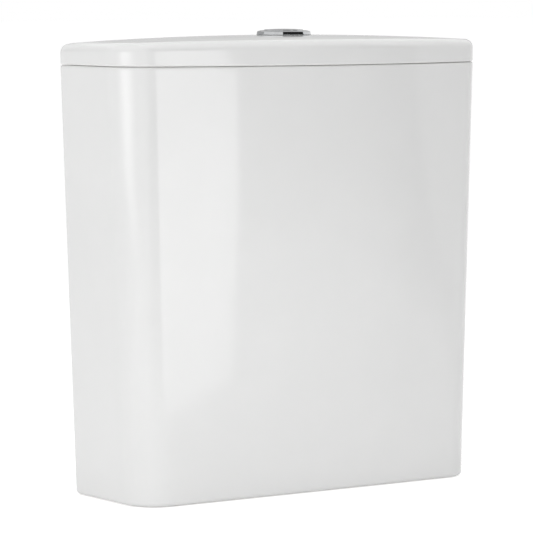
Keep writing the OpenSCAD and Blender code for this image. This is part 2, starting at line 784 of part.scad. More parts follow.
module overflow_tube() {
    arm_x = rod_x - lever_w / 2;
    color(PLASTIC) union() {
        at_valve() difference() {
            union() {
                translate([0, 0, carrier_z]) cylinder(r = tube_r, h = overflow_z - carrier_z);
                translate([0, 0, collar_z]) cylinder(r = tube_r + 2, h = collar_h);
                translate([0, 0, overflow_z - 3]) cylinder(r = tube_r + 1, h = 3);
            }
            translate([0, 0, carrier_z - 1]) cylinder(r = tube_r - tube_wall, h = overflow_z);
        }
        block([arm_x, valve_y + tube_r * 0.85, collar_z],
            [arm_x + lever_w, arm_y + arm_t, collar_z + collar_h]);
        block([arm_x, arm_y, collar_z], [arm_x + lever_w, arm_y + arm_t, hook_z + hook_t]);
        lift_hook(1);
    }
}

// The disc on the foot of the tube that holds the seal.
module seal_carrier() {
    color(PLASTIC) at_valve() translate([0, 0, carrier_z])
        ring(seal_r + 0.5, tube_r + rod_fit, carrier_t);
}

module flush_seal() {
    color(RUBBER) at_valve() translate([0, 0, seal_z]) ring(seal_r, tube_r + 2.2, seal_t);
}

// The spigot that holds the seal from below and guides the piston in the throat.
module seal_retainer() {
    fin_l = 14;
    fin_t = 2;
    color(PLASTIC) at_valve() translate([0, 0, seal_z]) difference() {
        union() {
            translate([0, 0, -2]) cylinder(r = throat_r - 1.2, h = 2);
            cylinder(r = tube_r + 2, h = seal_t);
            for (i = [0:3]) rotate(i * 90)
                translate([tube_r - tube_wall, -fin_t / 2, -fin_l])
                    cube([throat_r - slide_gap - tube_r + tube_wall, fin_t, fin_l]);
        }
        translate([0, 0, -fin_l - 1]) cylinder(r = tube_r - tube_wall, h = fin_l + seal_t + 2);
    }
}

// A ring float that holds the valve open until the tank is nearly empty.
module flush_float() {
    z0 = carrier_z + carrier_t;
    h = deck_z - deck_t - lift - slide_gap - z0;
    r_out = basket_r - basket_wall - 3;
    r_in = tube_r + rod_fit;
    color(ACCENT) at_valve() translate([0, 0, z0]) difference() {
        ring(r_out, r_in, h);
        translate([0, 0, -cup_wall]) ring(r_out - cup_wall, r_in + cup_wall, h);
    }
}

// Flush valve, pieces that the half flush lifts

module half_flush_float() {
    size = [half_float_w, half_float_d];
    h = half_float_h;
    round_r = 4;
    z0 = deck_z + stop_gap;
    y0 = valve_y + tube_r + 2 + size.y / 2;
    hole_r = rod_r + rod_fit;
    color(ACCENT) difference() {
        union() {
            translate([-rod_x, y0, z0]) difference() {
                linear_extrude(h) rounded(size, round_r);
                translate([0, 0, -cup_wall])
                    linear_extrude(h) rounded(size - 2 * cup_wall * [1, 1], round_r - cup_wall);
            }
            translate([-rod_x, arm_y + arm_t / 2, lift_foot_z - cup_wall])
                cylinder(r = hole_r + cup_wall, h = z0 + h - lift_foot_z);
        }
        translate([-rod_x, arm_y + arm_t / 2, lift_foot_z]) cylinder(r = hole_r, h = h);
    }
}

module half_flush_lift_rod() {
    color(PLASTIC) union() {
        translate([-rod_x, arm_y + arm_t / 2, lift_foot_z])
            cylinder(r = rod_r, h = hook_z + hook_t - lift_foot_z);
        lift_hook(-1);
    }
}

// Fill valve, fixed pieces

module fill_valve_body() {
    thread_top = recess_h - inlet_nut_h;
    top = head_z + head_socket_h + riser_lip;
    color(PLASTIC) at_fill() rotate_extrude() difference() {
        union() {
            translate([0, inlet_end_z]) square([inlet_r, thread_top - inlet_end_z]);
            translate([0, thread_top - eps]) square([inlet_r - 0.2, washer_z - thread_top + 1]);
            translate([0, washer_z]) square([inlet_flange_r, flange_t]);
            translate([0, washer_z]) square([riser_r, top - washer_z]);
            translate([0, float_stop_z - 4]) square([riser_r + 5, 4]);
            translate([0, head_z - 4]) square([riser_r + 3, 4]);
        }
        translate([0, inlet_end_z - 1]) square([inlet_bore_r, strainer_h + 3]);
        square([inlet_bore_r - 1.5, top + 1]);
    }
}

module inlet_washer() {
    color(RUBBER) at_fill() translate([0, 0, floor_z]) ring(inlet_flange_r, inlet_r + rod_fit, washer_t);
}

module inlet_back_nut() {
    color(PLASTIC) at_fill() translate([0, 0, recess_h - inlet_nut_h]) difference() {
        cylinder(r = inlet_flange_r, h = inlet_nut_h, $fn = 6);
        translate([0, 0, -1]) cylinder(r = inlet_r + rod_fit, h = inlet_nut_h + 2);
    }
}

// A cup with slotted sides that keeps grit out of the valve.
module inlet_strainer() {
    color(ACCENT) at_fill() translate([0, 0, inlet_end_z + 2]) difference() {
        cylinder(r = inlet_bore_r - slide_gap, h = strainer_h);
        translate([0, 0, 1.5]) cylinder(r = inlet_bore_r - slide_gap - 1.4, h = strainer_h);
        for (i = [0:5]) rotate(i * 60) translate([2, -0.8, 3]) cube([inlet_bore_r, 1.6, strainer_h - 5]);
    }
}

module fill_valve_head() {
    color(PLASTIC) at_fill() translate([0, 0, head_z]) difference() {
        cylinder(r = head_r, h = head_h);
        translate([0, 0, -1]) cylinder(r = riser_r + rod_fit, h = head_h);
        translate([0, 0, head_socket_h]) cylinder(r = chamber_r, h = head_h);
        for (i = [0:3]) rotate(45 + i * 90) translate([riser_r - 1, -3, head_socket_h - 12])
            cube([head_r, 6, 6]);
    }
}

module fill_valve_diaphragm() {
    color(RUBBER) at_fill() translate([0, 0, head_z + head_socket_h + riser_lip])
        cylinder(r = chamber_r - slide_gap, h = diaphragm_t);
}

// The cap over the diaphragm, with the pilot post and the ears of the float lever.
module fill_valve_cap() {
    ear_in = float_lever_half_w + ear_gap;
    ear_top = float_pin_z + ear_w / 2;
    plug_h = head_h - head_socket_h - riser_lip - diaphragm_t - slide_gap;
    pilot_top = float_pin_z - float_pin_x * sin(float_swing / 2) - lever_nub_r - pilot_gap;
    scallops = 14;
    color(PLASTIC) at_fill() difference() {
        union() {
            translate([0, 0, cap_z0]) difference() {
                cylinder(r = head_r, h = cap_t);
                for (i = [0:scallops - 1]) rotate((i + 0.5) * 360 / scallops)
                    translate([head_r + 0.9, 0, 1]) cylinder(r = 1.6, h = cap_t);
            }
            translate([0, 0, cap_z0 - plug_h]) cylinder(r = chamber_r - slide_gap, h = plug_h + eps);
            translate([0, 0, cap_z0]) cylinder(r = pilot_r, h = pilot_top - cap_z0);
            for (side = [-1, 1]) translate([float_pin_x, side * (ear_in + ear_t / 2) + ear_t / 2, 0])
                rotate([90, 0, 0]) linear_extrude(ear_t) {
                    translate([-ear_w / 2, cap_z0 + cap_t - 1]) square([ear_w, float_pin_rise + 1]);
                    translate([0, float_pin_z]) circle(d = ear_w);
                }
        }
        translate([float_pin_x, 0, float_pin_z]) rotate([90, 0, 0])
            cylinder(r = pin_r + pin_gap, h = 4 * ear_w, center = true);
    }
}

// Fill valve, moving pieces

module fill_float() {
    lug_l = link_x + float_lug_w / 2;
    shoulder = 5;
    skin_t = 2;
    color(ACCENT) at_fill() translate([0, 0, float_z]) difference() {
        union() {
            rotate_extrude() {
                square([float_r, float_h - shoulder]);
                square([float_r - shoulder, float_h]);
                translate([float_r - shoulder, float_h - shoulder]) circle(r = shoulder);
            }
            block([0, -float_lug_w / 2, float_h - float_lug_h], [lug_l, float_lug_w / 2, float_h]);
        }
        translate([0, 0, -1]) cylinder(r = riser_r + 1, h = float_h + 2);
        translate([0, 0, -1]) ring(float_r - skin_t, riser_r + 1 + skin_t, float_h - shoulder);
        translate([link_x, 0, float_h / 2]) cylinder(r = link_r + rod_fit, h = float_h);
    }
}

// The rod that carries the float's movement to its lever, with a head under the
// float's lug and a collar on each side of the lever's fork.
module float_link_rod() {
    low = float_z + float_h - float_lug_h - link_head_t;
    reach = lever_nub_r + collar_gap;
    color(CHROME) at_fill() translate([link_x, 0, 0]) union() {
        translate([0, 0, low]) cylinder(r = link_r, h = link_tip_z + reach + link_collar_t + 1 - low);
        translate([0, 0, low]) cylinder(r = link_r + 2, h = link_head_t);
        for (z = [link_tip_z + reach, link_tip_z - reach - link_collar_t])
            translate([0, 0, z]) cylinder(r = link_r + 2, h = link_collar_t);
    }
}

module float_clip() {
    color(PLASTIC) at_fill() translate([link_x, 0, float_z + float_h]) difference() {
        cylinder(r = 4.5, h = 4, $fn = 6);
        translate([0, 0, -1]) cylinder(r = link_r + rod_fit, h = 6);
    }
}

// The lever: a nub over the pilot post, a hub on the pin and a fork round the rod.
module float_lever() {
    half_w = float_lever_half_w;
    slot = 2 * (link_r + 0.6);
    color(PLASTIC) at_fill() translate([float_pin_x, 0, float_pin_z]) rotate([0, float_swing / 2, 0])
        rotate([90, 0, 0]) difference() {
            translate([0, 0, -half_w]) union() {
                cylinder(r = 4, h = 2 * half_w);
                translate([-float_pin_x, 0]) cylinder(r = lever_nub_r, h = 2 * half_w);
                translate([float_arm, 0]) cylinder(r = lever_nub_r, h = 2 * half_w);
                translate([-float_pin_x, -2, 0]) cube([float_pin_x + float_arm, 4, 2 * half_w]);
            }
            cylinder(r = pin_r + pin_gap, h = 4 * half_w, center = true);
            translate([float_arm, 0, 0]) cube([10, 3 * lever_nub_r, slot], center = true);
        }
}

module float_lever_pin() {
    color(CHROME) at_fill() translate([float_pin_x, 0, float_pin_z]) rotate([90, 0, 0])
        cylinder(r = pin_r, h = 2 * (float_lever_half_w + ear_gap + ear_t) + 1, center = true);
}

// The least gap of a button spring to itself, measured on its points.
echo(spring_gap = min([for (i = [0:len(spring_path) - 1], j = [0:len(spring_path) - 1])
    if (j - i >= spring_rings / 2) norm(spring_path[j] - spring_path[i]) - 2 * spring_wire_r]));

cistern_tank();
cistern_lid();
button_bezel();
bezel_gasket();
bezel_nut();
full_flush_button();
half_flush_button();
full_flush_rod();
half_flush_rod();
full_button_spring();
half_button_spring();
flush_valve_base();
valve_base_washer();
valve_back_nut();
coupling_seal();
valve_basket();
bridge_frame();
lever_pin();
full_flush_lever();
half_flush_lever();
overflow_tube();
seal_carrier();
flush_seal();
seal_retainer();
flush_float();
half_flush_float();
half_flush_lift_rod();
fill_valve_body();
inlet_washer();
inlet_back_nut();
inlet_strainer();
fill_valve_head();
fill_valve_diaphragm();
fill_valve_cap();
fill_float();
float_link_rod();
float_clip();
float_lever();
float_lever_pin();
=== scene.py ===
import json
import math

import bpy
import numpy as np
from mathutils import Matrix, Vector

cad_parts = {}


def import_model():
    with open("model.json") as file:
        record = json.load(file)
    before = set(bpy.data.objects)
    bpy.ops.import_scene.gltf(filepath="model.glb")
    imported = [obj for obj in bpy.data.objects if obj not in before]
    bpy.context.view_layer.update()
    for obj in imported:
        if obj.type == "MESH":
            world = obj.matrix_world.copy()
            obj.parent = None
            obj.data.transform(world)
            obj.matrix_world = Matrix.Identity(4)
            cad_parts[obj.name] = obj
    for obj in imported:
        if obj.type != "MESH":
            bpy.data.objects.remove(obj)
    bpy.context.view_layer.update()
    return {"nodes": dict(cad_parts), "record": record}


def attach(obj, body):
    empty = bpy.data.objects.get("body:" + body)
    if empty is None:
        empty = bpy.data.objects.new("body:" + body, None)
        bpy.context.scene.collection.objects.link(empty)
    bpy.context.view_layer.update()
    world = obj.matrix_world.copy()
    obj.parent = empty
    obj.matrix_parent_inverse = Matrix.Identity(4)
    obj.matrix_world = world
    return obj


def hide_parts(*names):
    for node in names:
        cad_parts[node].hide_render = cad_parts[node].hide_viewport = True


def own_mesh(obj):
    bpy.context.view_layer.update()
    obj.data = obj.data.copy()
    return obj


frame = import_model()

BODY_OF = {node: body for body, nodes in frame["record"]["behaviour"]["bodies"].items()
           for node in nodes}

# All sizes below are millimetres in the part's frame: the front faces -Y, Z is up.
MM = 0.001
QUARTER = np.linspace(0, math.pi / 2, 9)
POLE_R = 0.001

# Ceramic
TANK_H = 357.0
BASE_W, RIM_W = 338.0, 365.0
BASE_D, RIM_D = 109.5, 140.0
BASE_BOW, RIM_BOW = 0.5, 40.0
BASE_CORNER, RIM_CORNER = 28.0, 40.0
BACK_CORNER, CAST_CORNER = 6.0, 8.0
BACK_Y = 70.0
WALL = 9.0
FLOOR_LOW, FLOOR_Z = 30.0, 42.0
FOOT_EDGE, FOOT_IN, RIM_EDGE, FLOOR_FILLET = 3.5, 12.0, 2.0, 6.0
UNDER_IN, UNDER_FILLET = 13.5, 4.0
TAIL_HOLE_R, INLET_HOLE_R = 26.0, 12.5
BOLT_X, BOLT_Y, BOLT_R = 75.0, 15.0, 5.5
LID_Z, LID_TOP = 357.3, 381.0
LID_T, LID_EDGE, LID_FOOT, LID_SKIRT, LID_FILLET = 9.0, 7.0, 1.5, 10.0, 5.0
CROWN, CROSS_CROWN, CROSS_REACH = 5.0, 2.6, 68.0
LUG_LOW, LUG_T, LUG_W, LUG_CORNER = 351.0, 6.0, 24.0, 1.4
SIDE_LUG_X, BACK_LUG_X, BACK_LUG_Y = 168.5, 91.25, 56.0

# Flush button
BUTTON_Y = 6.5
BUTTON = (0, BUTTON_Y, 0)
SEAT_Z, SEAT_R, HOLE_R = 380.7, 23.5, 19.6
SPOT_Z, SPOT_R = 372.0, 31.0
BEZEL_R, BEZEL_Z = 23.0, 381.2
DOME_R, DOME_Z, DOME_TOP, DOME_POWER = 17.3, 383.7, 384.9, 1.7
SLEEVE_R, WELL_R = 18.6, 17.0
NUT_BORE, NUT_R, NUT_T = 18.7, 27.0, 8.0
SHELF_Z, SHELF_TOP = 351.2, 354.2
CAP_R, CAP_Z, CAP_TOP, CAP_CROWN, CAP_EDGE = 16.6, 380.5, 385.5, 0.6, 0.8
SPLIT_X, SPLIT_GAP = -3.0, 0.8
ROD_X, ROD_Y, ROD_R = 8.5, 2.5, 2.2
BOSS_Z, BOSS_R = 372.5, 4.0
ROD_LOW, ROD_HIGH = 319.33, 377.5
SPRING_R, WIRE_R, SPRING_TURNS = 3.5, 0.4, 5

# Both valves stand on the floor: a washer, and the flange that presses on it
VALVE = (0.0, 15.0)
FILL = (-115.0, 15.0)
VALVE_AXIS, FILL_AXIS = (*VALVE, 0), (*FILL, 0)
WASHER_TOP, FLANGE_TOP = 45.0, 48.0
PIN_R = 1.5

# Flush valve, fixed pieces
TAIL_R, TAIL_LOW, TAIL_BORE, LIP_Z = 23.9, 6.0, 24.0, 52.0
FLANGE_R = 33.0
DECK_Z, DECK_T = 118.0, 3.0
GUIDE_R, GUIDE_Z, GUIDE_T = 13.4, 240.0, 6.0
LEG_X, LEG_T, LEG_W = 22.0, 4.0, 12.0
CHEEK_LOW, CHEEK_FULL, CHEEK_TOP, CHEEK_ROUND = 284.0, 296.5, 314.0, 4.0
CHEEK_FRONT, CHEEK_BACK = -7.5, 22.5
LEVER_PIN = (0, 14.5, 312.0)
LEVER_TILT = math.radians(19.1)

# Flush valve, pieces that lift
LIFT_AXIS = (-ROD_X, 34, 0)
HOOK_Z, HOOK_T = 310.72, 5.0
TUBE_R, TUBE_BORE = 13.0, 11.2
SEAL_LOW, PLATE_LOW, PLATE_TOP = 52.3, 55.3, 60.3

# Fill valve
INLET_R, INLET_BORE, INLET_FLANGE_R = 10.48, 10.6, 17.0
RISER_R, RISER_BORE, RISER_TOP = 10.0, 5.5, 260.0
FLOAT_LOW, FLOAT_TOP = 150.3, 205.3
HEAD_LOW, HEAD_TOP, HEAD_R = 240.0, 266.0, 16.0
HEAD_CAP_TOP = 272.0
LINK_AXIS = (FILL[0] + 30.28, FILL[1], 0)
FLOAT_PIN = (FILL[0] + 9, FILL[1], 286)


# Numbers

def mix(a, b, t):
    """The value a share t of the way from a to b."""
    return a + (b - a) * t


def eased(t):
    """A smooth step from 0 to 1: t * t * (3 - 2 t), with t held between them."""
    t = np.clip(t, 0, 1)
    return t * t * (3 - 2 * t)


# Meshes from grids of points

def patch(points, around=True, along=False, caps=(False, False)):
    """Quads between neighbouring points of a grid (rows, columns, xyz). Columns may join
    round and rows end to end, and a cap is a fan from the mean of the first or last row."""
    points = np.asarray(points, float)
    rows, cols = points.shape[:2]
    index = np.arange(rows * cols).reshape(rows, cols)
    if around:
        index = np.hstack([index, index[:, :1]])
    if along:
        index = np.vstack([index, index[:1]])
    quads = np.stack([index[:-1, :-1], index[:-1, 1:], index[1:, 1:], index[1:, :-1]], axis=-1)
    vertices = [points.reshape(-1, 3)]
    fans = []
    for row, wanted, step in ((0, caps[0], -1), (-1, caps[1], 1)):
        if wanted:
            middle = rows * cols + len(fans)
            vertices.append(points[row].mean(axis=0)[None])
            ends = index[row][::step]
            fans.append(np.stack([ends[:-1], ends[1:], np.full(len(ends) - 1, middle)], axis=-1))
    triangles = np.concatenate(fans) if fans else np.zeros((0, 3), int)
    return outward(np.concatenate(vertices), quads.reshape(-1, 4), triangles)


def outward(vertices, quads, triangles):
    """The faces turned so that the volume they enclose, the sum of signed tetrahedra from
    the origin, is positive."""
    corners = np.concatenate([quads[:, [0, 1, 2]], quads[:, [0, 2, 3]], triangles])
    a, b, c = (vertices[corners[:, k]] for k in range(3))
    if np.einsum("ij,ij->i", a, np.cross(b, c)).sum() < 0:
        quads, triangles = quads[:, ::-1], triangles[:, ::-1]
    return vertices, quads, triangles


def mesh_of(name, patches):
    """One mesh from several patches, its flat arrays of corners filled with foreach_set."""
    start, points, quads, triangles = 0, [], [], []
    for vertices, fours, threes in patches:
        points.append(vertices)
        quads.append(fours + start)
        triangles.append(threes + start)
        start += len(vertices)
    points, quads, triangles = (np.concatenate(a) for a in (points, quads, triangles))
    corners = np.concatenate([quads.ravel(), triangles.ravel()])
    sizes = np.concatenate([np.full(len(quads), 4), np.full(len(triangles), 3)])
    starts = np.concatenate([[0], np.cumsum(sizes)[:-1]])
    mesh = bpy.data.meshes.new(name)
    mesh.vertices.add(len(points))
    mesh.vertices.foreach_set("co", (points * MM).astype(np.float32).ravel())
    mesh.loops.add(len(corners))
    mesh.loops.foreach_set("vertex_index", corners.astype(np.int32))
    mesh.polygons.add(len(sizes))
    mesh.polygons.foreach_set("loop_start", starts.astype(np.int32))
    mesh.update(calc_edges=True)
    mesh.validate()
    return mesh


def cut(target, cutters):
    """The target with the cutters' volumes taken away, as a finished mesh."""
    for cutter in cutters:
        tool = target.modifiers.new("cut", "BOOLEAN")
        tool.operation = "DIFFERENCE"
        tool.solver = "EXACT"
        tool.object = cutter
    bpy.context.view_layer.update()
    shown = target.evaluated_get(bpy.context.evaluated_depsgraph_get())
    target.data = bpy.data.meshes.new_from_object(shown)
    target.modifiers.clear()
    for cutter in cutters:
        bpy.data.objects.remove(cutter)


def shape(name, patches):
    """An object with the patches' mesh, at the origin."""
    made = bpy.data.objects.new(name, mesh_of(name, patches))
    bpy.context.scene.collection.objects.link(made)
    return made


def piece(name, node, material, patches, holes=(), sharp=32):
    """A finished piece that stands for a node: smooth, with edges sharper than a limit
    kept crisp, riding on the node's body."""
    made = shape(name, patches)
    if holes:
        cut(made, [shape("cutter", [hole]) for hole in holes])
    made.data.materials.clear()
    made.data.materials.append(material)
    made.data.shade_smooth()
    made.data.set_sharp_from_angle(angle=math.radians(sharp))
    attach(made, BODY_OF[node])
    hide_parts(node)
    return made


# Profiles and turned shapes

def softened(corners, steps=5):
    """A line through (r, z, fillet) corners, each corner with a fillet replaced by an arc
    that touches both of its sides: from the corner go fillet / tan(half angle) each way,
    and turn between the two touching points about the arc's centre."""
    points = np.array([c[:2] for c in corners], float)
    out = []
    for k, (*_, fillet) in enumerate(corners):
        if fillet == 0:
            out.append(points[k][None])
            continue
        back = points[k - 1] - points[k]
        ahead = points[(k + 1) % len(points)] - points[k]
        back, ahead = back / np.linalg.norm(back), ahead / np.linalg.norm(ahead)
        half = math.acos(float(np.clip(back @ ahead, -1, 1))) / 2
        middle = back + ahead
        centre = points[k] + middle / np.linalg.norm(middle) * fillet / math.sin(half)
        reach = fillet / math.tan(half)
        first, last = points[k] + back * reach - centre, points[k] + ahead * reach - centre
        turn = math.pi - 2 * half
        s = np.linspace(0, 1, steps + 1)[:, None]
        swing = np.sin((1 - s) * turn) * first + np.sin(s * turn) * last
        out.append(centre + swing / math.sin(turn))
    return np.concatenate(out)


def dense(line, gap):
    """The same line with points added so that none are further apart than the gap."""
    lengths = np.linalg.norm(np.diff(line, axis=0), axis=1)
    steps = np.maximum(1, np.ceil(lengths / gap)).astype(int)
    place = np.concatenate([k + np.arange(n) / n for k, n in enumerate(steps)] + [[len(line) - 1]])
    knots = np.arange(len(line))
    return np.stack([np.interp(place, knots, column) for column in line.T], axis=-1)


def turned(line, centre, steps=96, axis="z", radius=None):
    """A line of (r, z) carried round an axis through the centre: x = r cos a, y = r sin a.
    A radius function of (r, z, angle) may shape it round the turn."""
    angle = np.linspace(0, 2 * math.pi, steps, endpoint=False)[None, :]
    r, z = line[:, 0][:, None], line[:, 1][:, None]
    if radius is not None:
        r = radius(r, z, angle)
    x, y, z = np.broadcast_arrays(r * np.cos(angle), r * np.sin(angle), z)
    order = {"z": (x, y, z), "x": (z, x, y), "y": (y, z, x)}[axis]
    return np.stack(order, axis=-1) + np.asarray(centre, float)


def ring(corners, centre, steps=96, radius=None, gap=None, axis="z"):
    """A closed profile turned to a ring."""
    line = softened(corners)
    if gap:
        line = dense(np.concatenate([line, line[:1]]), gap)[:-1]
    return patch(turned(line, centre, steps, axis, radius), along=True)


def spindle(corners, centre, steps=64, radius=None, gap=None, axis="z"):
    """A profile that starts and ends on its axis, turned to a solid."""
    line = softened(corners)
    if gap:
        line = dense(line, gap)
    line[[0, -1], 0] = POLE_R
    return patch(turned(line, centre, steps, axis, radius), caps=(True, True))


def band(inner, outer, low, high, fillets):
    """The corners of a ring's rectangular section, from the inner lower one round."""
    return [(inner, low, fillets[0]), (outer, low, fillets[1]), (outer, high, fillets[2]),
            (inner, high, fillets[3])]


def bar(radius, low, high, first=0, last=0):
    """The corners of a round bar's section from end to end, with a fillet at each end."""
    return [(0, low, 0), (radius, low, first), (radius, high, last), (0, high, 0)]


def thread(low, high, pitch, depth, over):
    """A radius function for a thread: a rounded wave in z / pitch minus the turn, cut below
    the outside radius, and fading out over half a pitch at both ends."""
    def radius(r, z, angle):
        wave = 0.5 - 0.5 * np.cos(2 * math.pi * (z / pitch - angle / (2 * math.pi)))
        fade = np.clip((z - low) / pitch * 2, 0, 1) * np.clip((high - z) / pitch * 2, 0, 1)
        return r - depth * fade * wave ** 0.7 * (r > over)
    return radius


def lugs(count, inner, depth, width, ramp=0.06):
    """A radius function for grip lugs: a smooth step between the root and the full radius,
    repeated round the turn; radii inside the root are kept."""
    def radius(r, z, angle):
        phase = np.abs((angle * count / (2 * math.pi) + 0.5) % 1 - 0.5)
        step = eased((width / 2 - phase) / ramp + 0.5)
        return np.where(r > inner, r - depth * (1 - step) * np.clip((r - inner) / depth, 0, 1), r)
    return radius


def hexagon(inner, chamfer=0.985):
    """A radius function for a hexagon nut: the flat's distance over the cosine of the angle
    from its middle, capped near the outside radius; radii inside are kept."""
    def radius(r, z, angle):
        from_flat = angle % (math.pi / 3) - math.pi / 6
        flat = np.minimum(r * math.cos(math.pi / 6) / np.cos(from_flat), r * chamfer)
        return np.where(r > inner, flat, r)
    return radius


def rounded_rectangle(half_x, half_y, corner, steps=7):
    """Outlines of rectangles with round corners, one for each row of the three arrays."""
    a = np.linspace(0, math.pi / 2, steps)
    quarter = np.concatenate([a + k * math.pi / 2 for k in range(4)])[None, :]
    sign_x = np.repeat([1, -1, -1, 1], steps)[None, :]
    sign_y = np.repeat([1, 1, -1, -1], steps)[None, :]
    half_x, half_y, corner = (np.asarray(v, float).reshape(-1, 1)
                              for v in (half_x, half_y, corner))
    return (sign_x * (half_x - corner) + corner * np.cos(quarter),
            sign_y * (half_y - corner) + corner * np.sin(quarter))


AXES = {"z": [0, 1, 2], "x": [1, 2, 0], "y": [2, 0, 1]}


def laid(points, axis):
    """Points worked out along z, turned to run along another axis."""
    out = np.empty_like(points)
    out[..., AXES[axis]] = points
    return out


def stacked(x, y, z):
    """Rows of plan points, each row at its own height."""
    return np.stack([x, y, np.broadcast_to(np.reshape(z, (-1, 1)), x.shape)], axis=-1)


def round_ends(low, high, edge):
    """The heights of a bar's rows and how far each is drawn in, along a quarter circle at
    both ends."""
    q = np.linspace(0, math.pi / 2, 5)
    c, s = edge * (1 - np.cos(q)), edge * (1 - np.sin(q))
    return np.concatenate([low + c, high - s]), np.concatenate([s, c])


def block(low, high, corner=1.0, edge=0.6, axis="z"):
    """A box with round corners about its axis and round edges at both ends: a rectangle
    carried along the axis, drawn in along a quarter circle at each end."""
    low, high = np.asarray(low, float)[AXES[axis]], np.asarray(high, float)[AXES[axis]]
    z, inset = round_ends(low[2], high[2], edge)
    half, middle = (high - low) / 2, (low + high) / 2
    x, y = rounded_rectangle(half[0] - inset, half[1] - inset, np.maximum(corner - inset, 0.15))
    return patch(laid(stacked(x + middle[0], y + middle[1], z), axis), caps=(True, True))


def plate(edge_line, low, high, axis, edge=0.5):
    """A flat plate: a closed outline carried along an axis, and drawn towards its middle
    along a quarter circle at both faces."""
    z, inset = round_ends(low, high, edge)
    ahead = np.roll(edge_line, -1, axis=0) - np.roll(edge_line, 1, axis=0)
    ahead /= np.linalg.norm(ahead, axis=1, keepdims=True)
    inwards = np.stack([-ahead[:, 1], ahead[:, 0]], axis=-1)
    plan = edge_line[None] + inwards[None] * inset[:, None, None]
    return patch(laid(stacked(plan[..., 0], plan[..., 1], z), axis), caps=(True, True))


def socket(centre, half, wall, low, high):
    """An upright rectangular sleeve: up the outside, over a round lip and down the inside."""
    q = np.linspace(0, math.pi, 9)
    inset = np.concatenate([[0], wall / 2 * (1 - np.cos(q)), [wall]])
    z = np.concatenate([[low], high - wall / 2 + wall / 2 * np.sin(q), [low]])
    x, y = rounded_rectangle(half[0] - inset, half[1] - inset, np.maximum(wall - inset, 0.3))
    return patch(stacked(x + centre[0], y + centre[1], z), along=True)


def tube(path, out, radius, sides=12):
    """A round wire along a path: at each point a circle across the path's direction, from
    the given outward direction and the one square to it."""
    along = np.gradient(path, axis=0)
    along /= np.linalg.norm(along, axis=1, keepdims=True)
    out = out - (out * along).sum(axis=1, keepdims=True) * along
    out /= np.linalg.norm(out, axis=1, keepdims=True)
    side = np.cross(along, out)
    a = np.linspace(0, 2 * math.pi, sides, endpoint=False)[None, :, None]
    return patch(path[:, None] + radius * (np.cos(a) * out[:, None] + np.sin(a) * side[:, None]),
                 caps=(True, True))


def rod_hole(x, y, radius, low, high, steps=48):
    """A straight round cutter."""
    return spindle(bar(radius, low, high), (x, y, 0), steps)


# Finishes

def surface(name):
    """A new material: its node tree, its shader and its Object coordinates."""
    material = bpy.data.materials.new(name)
    material.use_nodes = True
    tree = material.node_tree
    shader = tree.nodes["Principled BSDF"]
    place = tree.nodes.new("ShaderNodeTexCoord").outputs["Object"]
    return material, tree, shader, place


def noise(tree, place, scale, detail=3.0, rough=0.55):
    """Cloudy noise over a place, mostly between 0.3 and 0.7."""
    node = tree.nodes.new("ShaderNodeTexNoise")
    node.inputs["Scale"].default_value = scale
    node.inputs["Detail"].default_value = detail
    node.inputs["Roughness"].default_value = rough
    tree.links.new(place, node.inputs["Vector"])
    return node.outputs["Fac"]


def spread(tree, value, low, high, from_low=0.3, from_high=0.7):
    """A value that runs from low to high as another runs over its own range."""
    node = tree.nodes.new("ShaderNodeMapRange")
    ends = {"From Min": from_low, "From Max": from_high, "To Min": low, "To Max": high}
    for key, number in ends.items():
        node.inputs[key].default_value = number
    tree.links.new(value, node.inputs["Value"])
    return node.outputs["Result"]


def tint(tree, clouds, first, second):
    """A colour that runs from one to another with the noise."""
    node = tree.nodes.new("ShaderNodeMix")
    node.data_type = "RGBA"
    node.inputs[6].default_value = (*first, 1)
    node.inputs[7].default_value = (*second, 1)
    tree.links.new(spread(tree, clouds, 0, 1), node.inputs[0])
    return node.outputs[2]


def relief(tree, shader, height, strength, distance):
    """A bump on the shader's normal from a height."""
    node = tree.nodes.new("ShaderNodeBump")
    node.inputs["Strength"].default_value = strength
    node.inputs["Distance"].default_value = distance
    tree.links.new(height, node.inputs["Height"])
    tree.links.new(node.outputs["Normal"], shader.inputs["Normal"])


GLAZE = (0.872, 0.874, 0.87), (0.892, 0.893, 0.889)
GLAZE_IOR = 1.52
CLAY = (0.66, 0.63, 0.57), (0.76, 0.735, 0.68)
CLAY_ROUGH = 0.8
BARE_HIGH = 0.0006


def glazed(name, bare_below):
    """White glaze with faint clouds and a slow ripple, and bare fired clay on the lowest
    edge, where the piece stood in the kiln. Its height is in metres, as the coordinates are."""
    material, tree, shader, place = surface(name)
    height = tree.nodes.new("ShaderNodeSeparateXYZ")
    tree.links.new(place, height.inputs[0])
    bare = spread(tree, height.outputs["Z"], 1, 0, bare_below, bare_below + BARE_HIGH)
    colour = tree.nodes.new("ShaderNodeMix")
    colour.data_type = "RGBA"
    tree.links.new(bare, colour.inputs[0])
    tree.links.new(tint(tree, noise(tree, place, 14), *GLAZE), colour.inputs[6])
    tree.links.new(tint(tree, noise(tree, place, 700), *CLAY), colour.inputs[7])
    tree.links.new(colour.outputs[2], shader.inputs["Base Color"])
    rough = tree.nodes.new("ShaderNodeMix")
    tree.links.new(bare, rough.inputs[0])
    tree.links.new(spread(tree, noise(tree, place, 55), 0.07, 0.11), rough.inputs[2])
    rough.inputs[3].default_value = CLAY_ROUGH
    tree.links.new(rough.outputs[0], shader.inputs["Roughness"])
    shader.inputs["IOR"].default_value = GLAZE_IOR
    relief(tree, shader, noise(tree, place, 45, 2.0), 0.03, 0.002)
    return material


